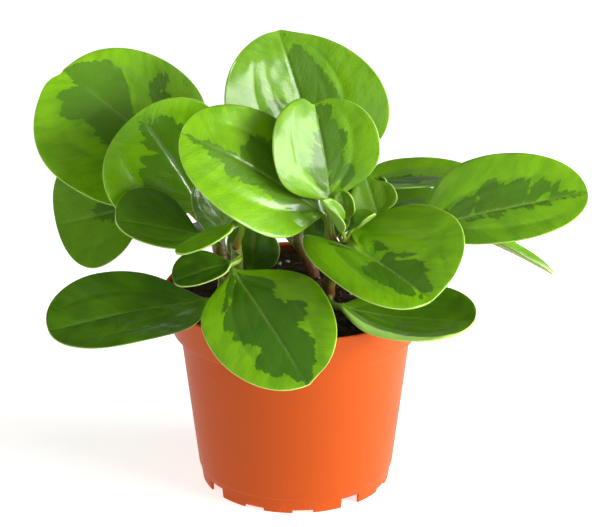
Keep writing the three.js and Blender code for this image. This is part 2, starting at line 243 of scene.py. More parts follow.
class Nodes:
    """A node tree that expressions add their nodes to."""

    def __init__(self, tree):
        self.tree = tree

    def plug(self, socket, value):
        """Links an expression to a socket, or sets a plain number, vector or colour on it."""
        if isinstance(value, Term):
            self.tree.links.new(value.socket, socket)
            return
        size = len(socket.default_value) if hasattr(socket.default_value, "__len__") else 0
        if size and isinstance(value, (int, float)):
            value = [value] * size
        elif size:
            value = [*value, 1.0][:size]
        socket.default_value = value

    def node(self, kind, settings=None, sockets=None):
        """Any node by its type, with settings by name and sockets by name or number."""
        node = self.tree.nodes.new(kind)
        for key, value in (settings or {}).items():
            setattr(node, key, value)
        for key, value in (sockets or {}).items():
            self.plug(node.inputs[key], value)
        return node

    def term(self, kind, output, settings=None, sockets=None, wide=False):
        """One output of such a node as a term."""
        return Term(self, self.node(kind, settings, sockets).outputs[output], wide)

    def vector(self, name):
        """Three numbers stored on the points of the mesh."""
        return self.term("ShaderNodeAttribute", "Vector", {"attribute_name": name}, wide=True)

    def place(self):
        """The point in the object's own coordinates, in metres."""
        return self.term("ShaderNodeTexCoord", "Object", wide=True)

    def parts(self, vector):
        """The three numbers of a vector."""
        node = self.node("ShaderNodeSeparateXYZ", None, {0: vector})
        return [Term(self, socket) for socket in node.outputs]

    def noise(self, vector, scale, detail=2.0, rough=0.5):
        """Smooth noise from 0 to 1, with its middle at 0.5; scale is its steps per unit of the vector."""
        sockets = {"Vector": vector, "Scale": scale, "Detail": detail, "Roughness": rough}
        return self.term("ShaderNodeTexNoise", "Fac", None, sockets)

    def noise_at(self, x, y, z, detail=2.0, rough=0.5):
        """The same noise at a place that is given by its three numbers."""
        place = self.term("ShaderNodeCombineXYZ", 0, None, {0: x, 1: y, 2: z}, True)
        return self.noise(place, 1.0, detail, rough)

    def ramp(self, value, low, high, start=0.0, end=1.0):
        """start up to low, end from high on, and a smooth step between."""
        sockets = {"Value": value, "From Min": low, "From Max": high, "To Min": start, "To Max": end}
        settings = {"interpolation_type": "SMOOTHSTEP", "clamp": True}
        return self.term("ShaderNodeMapRange", "Result", settings, sockets)

    def mix(self, factor, first, second):
        """first where factor is 0, second where it is 1; both are colours."""
        sockets = {0: factor, 6: first, 7: second}
        return self.term("ShaderNodeMix", 2, {"data_type": "RGBA"}, sockets, True)

    def bump(self, height, distance, strength=1.0):
        """Relief of that height, in metres, on top of the surface."""
        sockets = {"Height": height, "Distance": distance, "Strength": strength}
        return self.term("ShaderNodeBump", 0, None, sockets, True)


class Finish(Nodes):
    """One material: a Principled shader whose varying inputs are given as expressions."""

    def __init__(self, name):
        self.material = bpy.data.materials.new(name)
        self.material.use_nodes = True
        super().__init__(self.material.node_tree)
        self.tree.nodes.clear()
        self.shader = self.node("ShaderNodeBsdfPrincipled")
        output = self.node("ShaderNodeOutputMaterial")
        self.tree.links.new(self.shader.outputs[0], output.inputs[0])

    def finish(self, **inputs):
        """Sets the shader's inputs; Base_Color stands for Base Color. Returns the material."""
        for key, value in inputs.items():
            self.plug(self.shader.inputs[key.replace("_", " ")], value)
        return self.material


class Sky(Nodes):
    """The surroundings: a background whose strength is given as an expression."""

    def __init__(self, tree):
        super().__init__(tree)
        self.tree.nodes.clear()
        self.background = self.node("ShaderNodeBackground", None, {"Color": (1.0, 1.0, 1.0)})
        output = self.node("ShaderNodeOutputWorld")
        self.tree.links.new(self.background.outputs[0], output.inputs[0])

    def direction(self):
        """The direction looked in; its third number is 1 straight up."""
        return self.term("ShaderNodeTexCoord", "Generated", wide=True)


def srgb(red, green, blue):
    """A colour as seen on a screen, 0 to 255, as the linear colour that a shader takes."""
    parts = np.array([red, green, blue]) / 255
    linear = np.where(parts <= 0.04045, parts / 12.92, ((parts + 0.055) / 1.055) ** 2.4)
    return tuple(float(part) for part in linear)


def scaled(colour, factor):
    """A colour made darker or lighter by a factor."""
    return tuple(factor * part for part in colour)


def blended(first, second, share):
    """A colour between two others, with that share of the second."""
    return tuple((1 - share) * a + share * b for a, b in zip(first, second))


# ---------------------------------------------------------------------------
# Sizes and colours that can be changed
# ---------------------------------------------------------------------------


def swatch(name, description, red, green, blue):
    """A colour swatch with its default given as seen on a screen."""
    default = srgb(red, green, blue)
    return FloatVectorProperty(
        name=name, description=description, default=default, size=3, min=0, max=1, subtype="COLOR"
    )


def measure(name, description, default, low=None, high=None, **more):
    """A number with its default and, where given, its limits and its unit or subtype."""
    limits = {key: value for key, value in (("min", low), ("max", high)) if value is not None}
    return FloatProperty(name=name, description=description, default=default, **limits, **more)


def tally(name, description, default, high):
    """A whole number from 0 up."""
    return IntProperty(name=name, description=description, default=default, min=0, max=high)


class PotLook(bpy.types.PropertyGroup):
    """The plastic nursery pot."""

    plastic: swatch("Plastic", "Colour of the moulded plastic", 188, 77, 14)
    worn: swatch("Worn", "Colour where it is scuffed or dusty", 210, 98, 34)
    # Darker colour laid on the inner face above the soil, up to just under the lip
    inner_dark: swatch("Soiled", "Colour of the inside above the soil, stained by earth", 44, 26, 18)
    wall: measure("Wall", "Thickness of the wall in mm", 1.4, 0.5, 4)
    rim_band: measure("Rim band", "Height of the flared band in mm", BAND_HEIGHT, 5, 30)
    roughness: measure("Roughness", "Satin finish of the plastic", 0.42, 0, 1)


class SoilLook(bpy.types.PropertyGroup):
    """The potting soil."""

    peat: swatch("Peat", "Colour of the damp peat", 44, 30, 22)
    dry: swatch("Dry crumbs", "Colour of drier crumbs and fibres", 92, 66, 48)
    grain: swatch("White grains", "Colour of the perlite", 214, 208, 196)
    crumbs: tally("Crumbs", "Number of loose crumbs on top", 700, 4000)
    grains: tally("Grains", "Number of white grains on top", 36, 400)
    fibres: tally("Fibres", "Number of loose fibres on top", 46, 400)


class LeafLook(bpy.types.PropertyGroup):
    """The leaves and their petioles."""

    margin: swatch("Margin", "Yellow-green of the outer part of a variegated leaf", 120, 176, 10)
    middle: swatch("Middle", "Mid green between the margin and the dark patch", 84, 140, 12)
    patch: swatch("Patch", "Dark green of the jagged patch", 44, 92, 10)
    faint: swatch("Faint patch", "Grey-green of the patch on the palest leaves", 100, 144, 34)
    # Dark green of older leaves; on leaves that sit in shade the same colour is painted shade
    aged_and_shaded: swatch("Aged", "Even dark green of an older leaf", 46, 88, 8)
    under: swatch("Underside", "Pale matt green below", 128, 164, 70)
    rim: swatch("Rim", "Pale line along the edge", 196, 222, 120)
    petiole: swatch("Petiole", "Colour of the leaf stalks", 116, 150, 44)
    blush: swatch("Blush", "Red-brown tint at the foot of the stalks", 128, 66, 30)
    thickness: measure("Thickness", "Thickness of the blade in mm", 1.3, 0.4, 3)
    stalk: measure("Stalk", "Radius of a leaf stalk in mm", 1.5, 0.5, 4)
    roughness: measure("Roughness", "Gloss of the upper face", 0.3, 0, 1)


class ShootLook(bpy.types.PropertyGroup):
    """The fleshy shoots."""

    young: swatch("Young", "Olive green towards the top", 112, 124, 38)
    old: swatch("Old", "Red-brown towards the soil", 104, 62, 34)


class StageLook(bpy.types.PropertyGroup):
    """The camera, the floor and the lights."""

    lens: measure("Lens", "Focal length in mm", 120, 20, 300, subtype="DISTANCE_CAMERA")
    distance: measure("Distance", "Camera in front of the pot's axis, m", 0.835, unit="LENGTH")
    height: measure("Height", "Camera above the floor, m", 0.425, unit="LENGTH")
    aside: measure("Aside", "Camera to the right of the pot's axis, m", 0.002, unit="LENGTH")
    pitch: measure("Pitch", "Camera looks down", math.radians(21.1), subtype="ANGLE")
    horizon: measure("Horizon", "Brightness of the surroundings low down", 0.33, 0)
    zenith: measure("Zenith", "Brightness of the surroundings overhead", 0.3, 0)
    key: measure("Key", "Power of the soft light at the right, W", 29.0, 0)
    fill: measure("Fill", "Power of the soft light at the left, W", 2.2, 0)
    back: measure("Back", "Power of the soft light behind, W", 0.5, 0)


# ---------------------------------------------------------------------------
# Pot
# ---------------------------------------------------------------------------


def rounded(outline, radius, steps=5):
    """Rounds each corner of an outline of (radius, height) pairs: the corner is replaced by the
    points of a parabola that leaves one side and joins the other, at most radius away from it."""
    points = [np.array(outline[0], float)]
    for before, corner, after in zip(outline, outline[1:], outline[2:]):
        before, corner, after = (np.array(p, float) for p in (before, corner, after))
        back, forth = before - corner, after - corner
        reach = min(radius, np.linalg.norm(back) / 2.2, np.linalg.norm(forth) / 2.2)
        start = corner + unit(back) * reach
        end = corner + unit(forth) * reach
        t = np.linspace(0, 1, steps)[:, None]
        points.extend((1 - t) ** 2 * start + 2 * t * (1 - t) * corner + t * t * end)
    points.append(np.array(outline[-1], float))
    return np.array(points)


def between(points, longest):
    """Adds evenly spaced points to an outline so that no side is longer than that."""
    parts = []
    for start, end in zip(points, points[1:]):
        count = max(1, math.ceil(np.linalg.norm(end - start) / longest))
        parts.append(start + (end - start) * (np.arange(count) / count)[:, None])
    return np.concatenate([*parts, points[-1:]])


def pot_surface(wall, rim_band):
    """The pot: an outline of radius r and height z carried round the axis. In the foot ring, z is
    never less than the height of the notch at that angle, which is 0 outside the notches. Returns
    points and faces."""
    band_foot = POT_HEIGHT - rim_band
    outline = [
        (0.0, FLOOR_HEIGHT - wall),
        (FOOT_RADIUS - wall, FLOOR_HEIGHT - wall),
        (FOOT_RADIUS - wall - 0.4, 0.0),
        (FOOT_RADIUS - 0.8, 0.0),
        (FOOT_RADIUS, FOOT_HEIGHT - 0.5),
        (BODY_FOOT_RADIUS, FOOT_HEIGHT),
        (BODY_TOP_RADIUS, band_foot - 0.2),
        (RIM_STEP_RADIUS - 0.3, band_foot),
        (RIM_STEP_RADIUS, band_foot + 0.4),
        (RIM_RADIUS, POT_HEIGHT - LIP_BEVEL),
        (RIM_RADIUS - 0.3 * wall, POT_HEIGHT),
        (RIM_RADIUS - 0.7 * wall, POT_HEIGHT),
        (RIM_RADIUS - wall, POT_HEIGHT - LIP_BEVEL),
        (RIM_STEP_RADIUS - wall, band_foot + wall),
        (BODY_TOP_RADIUS - wall, band_foot + wall - 0.4),
        (BODY_FOOT_RADIUS - wall, FLOOR_HEIGHT),
        (0.0, FLOOR_HEIGHT),
    ]
    longest = 3.0  # longest side of the outline, mm
    profile = between(rounded(outline, CORNER_RADIUS), longest)[1:-1]
    middles = NOTCH_PHASE + np.arange(0, 360, NOTCH_PITCH)[:, None]
    edges = middles + NOTCH_WIDTH / 2 * np.array([-1, 1])
    sharp = 0.06  # degrees over which a notch's side rises
    step = 1.25  # degrees between the outlines
    degrees = np.concatenate([np.arange(0, 360, step), (edges - sharp).ravel(), (edges + sharp).ravel()])
    degrees = np.sort(np.mod(degrees, 360))
    turn = np.mod(degrees - NOTCH_PHASE + NOTCH_PITCH / 2, NOTCH_PITCH) - NOTCH_PITCH / 2
    number = np.round((degrees - NOTCH_PHASE) / NOTCH_PITCH).astype(int)
    depth = np.where(number % 3 == 1, DRAIN_DEPTH, NOTCH_DEPTH)
    notch = depth * (np.abs(turn) < NOTCH_WIDTH / 2)
    radius, height = profile[:, :1], profile[:, 1:]
    in_foot = (radius > FOOT_RADIUS - wall - 1) & (height < FOOT_HEIGHT)
    z = np.where(in_foot, np.maximum(height, notch * np.ones_like(height)), height)
    angle = np.radians(degrees)
    rings = triple(radius * np.sin(angle), -radius * np.cos(angle), z)
    return skin(rings, (0, 0, outline[0][1]), (0, 0, outline[-1][1]))


def pot_finish(look):
    """Satin orange plastic: slight cloudiness, fine vertical rubbing marks, scuffs along the lip and
    the foot, and a darker inner face above the soil."""
    finish = Finish("pot_plastic")
    place = finish.place()
    x, y, z = finish.parts(place)
    cloud = finish.noise(place, 22.0, 3.0)
    rubbed = finish.noise_at(x * 900.0, y * 900.0, z * 40.0, 3.0, 0.6)
    speck = finish.noise(place, 900.0, 2.0)
    lip = finish.ramp(z, (POT_HEIGHT - 2.2) * MM, POT_HEIGHT * MM)
    foot = finish.ramp(z, 9.0 * MM, 1.0 * MM)
    scuff = finish.ramp(rubbed + lip * 0.12 + foot * 0.16, 0.62, 0.78)
    tone = finish.mix(finish.ramp(cloud, 0.35, 0.7) * 0.3, look.plastic, scaled(look.plastic, 0.9))
    tone = finish.mix(scuff * 0.4, tone, look.worn)

    # A darker colour on the inner face, from just above the soil to just under the lip, with a ragged top
    # edge
    across, deep = x - float(POT_AXIS[0]), y - float(POT_AXIS[1])
    radius = (across ** 2.0 + deep ** 2.0) ** 0.5
    inner = finish.ramp(radius - z * WALL_SLOPE, INNER_FOOT * MM, (INNER_FOOT - 0.5) * MM)
    above = finish.ramp(z, (SOIL_EDGE - 3.0) * MM, (SOIL_EDGE - 2.0) * MM)
    darkened = z + (cloud - 0.5) * 0.004
    below_lip = finish.ramp(darkened, (POT_HEIGHT - 0.3) * MM, (POT_HEIGHT - 1.6) * MM)
    tone = finish.mix(inner * above * below_lip * 0.92, tone, look.inner_dark)
    return finish.finish(
        Base_Color=tone,
        Roughness=look.roughness + (cloud - 0.5) * 0.12 + scuff * 0.12,
        Normal=finish.bump(speck * 0.5 + rubbed * 0.5, 0.00005, 0.5),
        Subsurface_Weight=0.06,
        Subsurface_Radius=(0.004, 0.0015, 0.0008),
        Subsurface_Scale=1.0,
        Specular_IOR_Level=0.15,
        IOR=1.5,
    )


class PLANT_OT_pot(bpy.types.Operator):
    """Make the plastic nursery pot"""

    bl_idname = "plant.pot"
    bl_label = "Pot"

    def execute(self, context):
        look = context.scene.plant_pot
        shape = pot_surface(look.wall, look.rim_band)
        make_piece("pot_shell", *shape, pot_finish(look), "pot", "pot")
        return {"FINISHED"}


# ---------------------------------------------------------------------------
# Soil
# ---------------------------------------------------------------------------

# Uneven ground: size across and height of each kind of bump in mm, shift and seed of its noise
SOIL_BUMPS = ((7, 0.9, 20, 5), (2.4, 0.55, 30, 6), (0.9, 0.35, 64, 7))
FIBRE_RADIUS = 0.16  # mm


def soil_height(x, y, edge):
    """Height of the soil: a shallow mound, 1 - (r/edge)^2, with bumps from three sizes of lattice
    noise that flatten out towards the wall."""
    inward = 1 - (x * x + y * y) / (edge * edge)
    bumps = sum(
        height * lattice_noise(x / size + shift, y / size + shift, seed)
        for size, height, shift, seed in SOIL_BUMPS
    )
    return SOIL_EDGE + SOIL_RISE * inward + bumps * smooth(inward * 8)


def soil_surface(edge, wall):
    """The plug of soil: rings up the inside of the pot and then inwards over the mound, each ring at
    radius r, with the height from soil_height on top. Returns points and faces."""
    step = POT_HEIGHT - BAND_HEIGHT  # height of the step inside the pot
    outline = [
        (BODY_FOOT_RADIUS - wall - GAP, FLOOR_HEIGHT + GAP),
        (BODY_TOP_RADIUS - wall - GAP, step + 0.4),
        (RIM_STEP_RADIUS - wall - 2 * GAP, step + 2.2),
        (edge, SOIL_EDGE - 1.5),
        (edge, SOIL_EDGE - 0.2),
    ]
    side = between(np.array(outline), 12.0)
    inward = edge * np.linspace(0.995, 0.01, 120)
    angle = np.linspace(0, 2 * np.pi, 300, endpoint=False)
    radius = np.concatenate([side[:, 0], inward])[:, None]
    x, y = radius * np.cos(angle), radius * np.sin(angle)
    z = soil_height(x, y, edge)
    z[: len(side)] = side[:, 1:]
    middle = soil_height(np.zeros(1), np.zeros(1), edge)[0]
    return skin(triple(x, y, z), (0, 0, FLOOR_HEIGHT + GAP), (0, 0, middle))


def scatter_lumps(places, sizes, flatness, seed, sides=6, rings=4):
    """Many small lumps in one array: each is a coarse ball of rings and sides whose points are moved
    in or out by up to a third, squashed by flatness and turned about the vertical. Returns points and
    faces."""
    rng = np.random.default_rng(seed)
    count = len(places)
    polar = np.pi * (np.arange(1, rings + 1) / (rings + 1))[:, None]
    turn = 2 * np.pi * np.arange(sides) / sides
    belt = triple(np.sin(polar) * np.cos(turn), np.sin(polar) * np.sin(turn), -np.cos(polar))
    ball = closed(belt, (0, 0, -1), (0, 0, 1))
    shapes = ball[None] * rng.uniform(0.66, 1.15, (count, len(ball), 1)) * [1, 1, flatness]
    spin = rng.uniform(0, 2 * np.pi, count)[:, None]
    x, y, z = np.moveaxis(shapes, -1, 0)
    turned = triple(x * np.cos(spin) - y * np.sin(spin), x * np.sin(spin) + y * np.cos(spin), z)
    points = places[:, None] + turned * sizes[:, None, None]
    return points.reshape(-1, 3), ring_faces(rings, sides, count)


def on_soil(count, edge, seed, sink):
    """Seeded places spread evenly over the disc, sunk that far into the surface."""
    rng = np.random.default_rng(seed)
    radius = (edge - 2.5) * np.sqrt(rng.uniform(0, 1, count))
    angle = rng.uniform(0, 2 * np.pi, count)
    x, y = radius * np.cos(angle), radius * np.sin(angle)
    return triple(x, y, soil_height(x, y, edge) - sink)


def scatter_fibres(count, edge, seed, steps=9, sides=5):
    """Loose root fibres: each is a thin tube along a parabola that starts and ends on the soil and
    rises a little between, bent sideways by a half wave. Returns points and faces."""
    rng = np.random.default_rng(seed)
    start = on_soil(count, edge * 0.93, seed + 1, -0.2)
    heading, length = rng.uniform(0, 2 * np.pi, (count, 1)), rng.uniform(4, 11, (count, 1))
    bow, lift = rng.uniform(-2, 2, (count, 1)), rng.uniform(0.2, 1.6, (count, 1))
    t = np.linspace(0, 1, steps)[None]
    along, aside = length * t, bow * np.sin(np.pi * t)
    x = start[:, :1] + along * np.cos(heading) - aside * np.sin(heading)
    y = start[:, 1:2] + along * np.sin(heading) + aside * np.cos(heading)
    inside = np.minimum(1, (edge - 2) / np.hypot(x, y))
    x, y = x * inside, y * inside
    z = soil_height(x, y, edge) + 0.25 + 4 * lift * t * (1 - t)
    angle = 2 * np.pi * np.arange(sides) / sides
    radius = FIBRE_RADIUS * (1 - 0.5 * t)[..., None]
    level = triple(-np.sin(heading), np.cos(heading), 0.0)
    upright = np.array([0.0, 0.0, 1.0])
    rings = tube(triple(x, y, z), level, upright, radius * np.cos(angle), radius * np.sin(angle))
    points = [closed(fibre, fibre[0].mean(0), fibre[-1].mean(0)) for fibre in rings]
    return np.concatenate(points), ring_faces(steps, sides, count)


def soil_finish(name, dark, light):
    """Crumbly matter: two scales of noise between a damp and a dry colour, and a rough relief."""
    finish = Finish(name)
    place = finish.place()
    coarse = finish.noise(place, 160.0, 4.0, 0.6)
    fine = finish.noise(place, 1300.0, 3.0, 0.6)
    dry = finish.ramp(coarse * 0.5 + fine * 0.5, 0.46, 0.66)
    return finish.finish(
        Base_Color=finish.mix(dry, dark, light),
        Roughness=finish.ramp(coarse, 0.3, 0.7, 0.72, 0.98),
        Normal=finish.bump(coarse * 0.6 + fine * 0.4, 0.0006, 0.9),
        Specular_IOR_Level=0.3,
    )


class PLANT_OT_soil(bpy.types.Operator):
    """Make the potting soil with its crumbs, white grains and fibres"""

    bl_idname = "plant.soil"
    bl_label = "Soil"

    def execute(self, context):
        look, wall = context.scene.plant_soil, context.scene.plant_pot.wall
        edge = RIM_RADIUS - wall - (POT_HEIGHT - SOIL_EDGE) * WALL_SLOPE - GAP
        earth = soil_finish("soil_peat", look.peat, blended(look.peat, look.dry, 0.45))
        make_piece("soil_bed", *soil_surface(edge, wall), earth, "soil", "soil")

        rng = np.random.default_rng(11)
        sizes = rng.uniform(0.35, 1.5, look.crumbs) ** 1.3
        crumbs = scatter_lumps(on_soil(look.crumbs, edge, 12, 0.1), sizes, 0.75, 13)
        crumb = soil_finish("soil_crumb", look.peat, look.dry)
        make_piece("soil_crumbs", *crumbs, crumb, None, "soil")

        sizes = rng.uniform(0.5, 1.25, look.grains)
        grains = scatter_lumps(on_soil(look.grains, edge, 21, -0.15), sizes, 0.85, 22)
        grain = soil_finish("soil_grain", scaled(look.grain, 0.8), look.grain)
        make_piece("soil_white_grains", *grains, grain, None, "soil")

        fibre = soil_finish("soil_fibre", look.dry, scaled(look.dry, 1.8))
        make_piece("soil_fibres", *scatter_fibres(look.fibres, edge, 31), fibre, None, "soil")
        return {"FINISHED"}


# ---------------------------------------------------------------------------
# Shoots
# ---------------------------------------------------------------------------

# Each shoot runs from its foot in the soil past a bend to its top, in mm about the pot's axis.
SHOOTS = {
    "left": dict(foot=(-31, 4), bend=(-34, 10, 104), top=(-38, 12, 128), radius=(3.4, 2.4)),
    "middle": dict(foot=(-20, -18), bend=(-24, -21, 102), top=(-26, -22, 122), radius=(3.2, 2.2)),
    "crown": dict(foot=(14, -8), bend=(16, -12, 102), top=(23, -17, 120), radius=(3.4, 2.6)),
    "back": dict(foot=(8, 24), bend=(1, 26, 107), top=(8, 27, 132), radius=(3.2, 2.4)),
    "right": dict(foot=(34, 10), bend=(38, 8, 100), top=(46, 4, 114), radius=(3.2, 2.2)),
}
SHOOT_FOOT = 70.0  # height of its lower end, inside the soil
SHOOT_NECK = 89.0  # height up to which it stands straight
SHOOT_CAP = 0.97  # how far up it the rounded top begins, from 0 to 1


def shoot_line(shoot, t):
    """Points on the shoot's middle line at t from 0 to 1: a centripetal spline, whose knots are the
    square roots of the distances between its four points, with both ends carried straight on."""
    foot, neck = (*shoot["foot"], SHOOT_FOOT), (*shoot["foot"], SHOOT_NECK)
    knots = np.array([foot, neck, shoot["bend"], shoot["top"]], float)
    knots = np.concatenate([2 * knots[:1] - knots[1:2], knots, 2 * knots[-1:] - knots[-2:-1]])
    step = np.sqrt(np.linalg.norm(np.diff(knots, axis=0), axis=1))
    t = np.atleast_1d(np.asarray(t, float)) * 3
    part = np.clip(np.floor(t).astype(int), 0, 2)
    local = (t - part)[:, None]
    a, b, c, d = (knots[part + i] for i in range(4))
    da, db, dc = (step[part + i][:, None] for i in range(3))
    leave = ((b - a) / da - (c - a) / (da + db) + (c - b) / db) * db
    arrive = ((c - b) / db - (d - b) / (db + dc) + (d - c) / dc) * db
    bow = -3 * b + 3 * c - 2 * leave - arrive
    twist = 2 * b - 2 * c + leave + arrive
    return b + local * (leave + local * (bow + local * twist))


def shoot_grain(shoot, t):
    """Direction of the shoot at t, from the points a little before and after."""
    t = np.atleast_1d(np.asarray(t, float))
    return unit(shoot_line(shoot, np.minimum(t + 1e-4, 1)) - shoot_line(shoot, np.maximum(t - 1e-4, 0)))


def shoot_radius(shoot, t):
    """Radius of the shoot at t, without its swellings."""
    low, high = shoot["radius"]
    return low + (high - low) * t


def shoot_surface(shoot, nodes, seed):
    """A tube along the line. Its radius runs from foot to top, swells by a bell curve at each node
    where a leaf joins, has a thin scar ring there, and wavers a little with noise. The last rings
    follow a quarter circle and close the top. Returns points, faces and the data of the finish."""
    columns = 28
    quarter = np.sin(np.linspace(0, np.pi / 2, 9)[1:-1])
    t = np.concatenate([np.linspace(0, SHOOT_CAP, 110), SHOOT_CAP + (1 - SHOOT_CAP) * quarter])
    centre, along = shoot_line(shoot, t), shoot_grain(shoot, t)
    side = unit(np.array([1.0, 0, 0]) - along * along[:, :1])
    other = np.cross(along, side)
    near = t[:, None] - np.asarray(nodes)[None]
    swell = (0.16 * bell(near, 0.035) - 0.07 * bell(near, 0.007)).sum(1)
    cap = np.sqrt(np.clip(1 - (np.clip(t - SHOOT_CAP, 0, None) / 0.031) ** 2, 0, 1))
    angle = 2 * np.pi * np.arange(columns) / columns
    waver = lattice_noise(np.cos(angle)[None] * 1.5 + 9, t[:, None] * 24 + np.sin(angle)[None], seed)
    radius = (shoot_radius(shoot, t) * (1 + swell) * cap)[:, None] * (1 + 0.035 * waver)
    rings = tube(centre, side, other, radius * np.cos(angle), radius * np.sin(angle))
    scar = bell(near, 0.012).sum(1)[:, None] + 0 * radius
    nature = closed(triple(t[:, None], scar, seed), (0, 0, seed), (1, 0, seed))
    points, faces = skin(rings, shoot_line(shoot, 0)[0], shoot_line(shoot, 1)[0])
    return points, faces, {"nature": nature}


def shoot_finish(look):
    """Fleshy stem: red-brown at the foot, olive higher up, with paler flecks and darker scars."""
    finish = Finish("shoot_skin")
    height, scar, _ = finish.parts(finish.vector("nature"))
    place = finish.place()
    streak = finish.noise(place * (900.0, 900.0, 160.0), 1.0, 3.0)
    fleck = finish.noise(place, 1500.0, 2.0)
    turn = finish.ramp(height + (streak - 0.5) * 0.5, 0.35, 0.85)
    tone = finish.mix(turn, look.old, look.young)
    tone = finish.mix(finish.ramp(fleck, 0.62, 0.72) * 0.45, tone, srgb(176, 160, 96))
    tone = finish.mix(finish.ramp(scar, 0.2, 1.0) * 0.5, tone, srgb(84, 54, 30))
    return finish.finish(
        Base_Color=tone,
        Roughness=0.42 + (streak - 0.5) * 0.2,
        Normal=finish.bump(streak * 0.6 + fleck * 0.4, 0.0002, 0.6),
        Subsurface_Weight=0.1,
        Subsurface_Radius=(0.0015, 0.0015, 0.0004),
        Subsurface_Scale=1.0,
    )


class PLANT_OT_shoots(bpy.types.Operator):
    """Make the fleshy shoots that stand in the soil"""

    bl_idname = "plant.shoots"
    bl_label = "Shoots"

    def execute(self, context):
        stem = shoot_finish(context.scene.plant_shoot)
        for number, (name, shoot) in enumerate(SHOOTS.items()):
            nodes = [leaf["at"] for leaf in LEAVES.values() if leaf["shoot"] == name]
            points, faces, data = shoot_surface(shoot, nodes, number + 1)
            make_piece(f"shoot_{name}", points, faces, stem, f"stem_{name}", "stem", data)
        return {"FINISHED"}
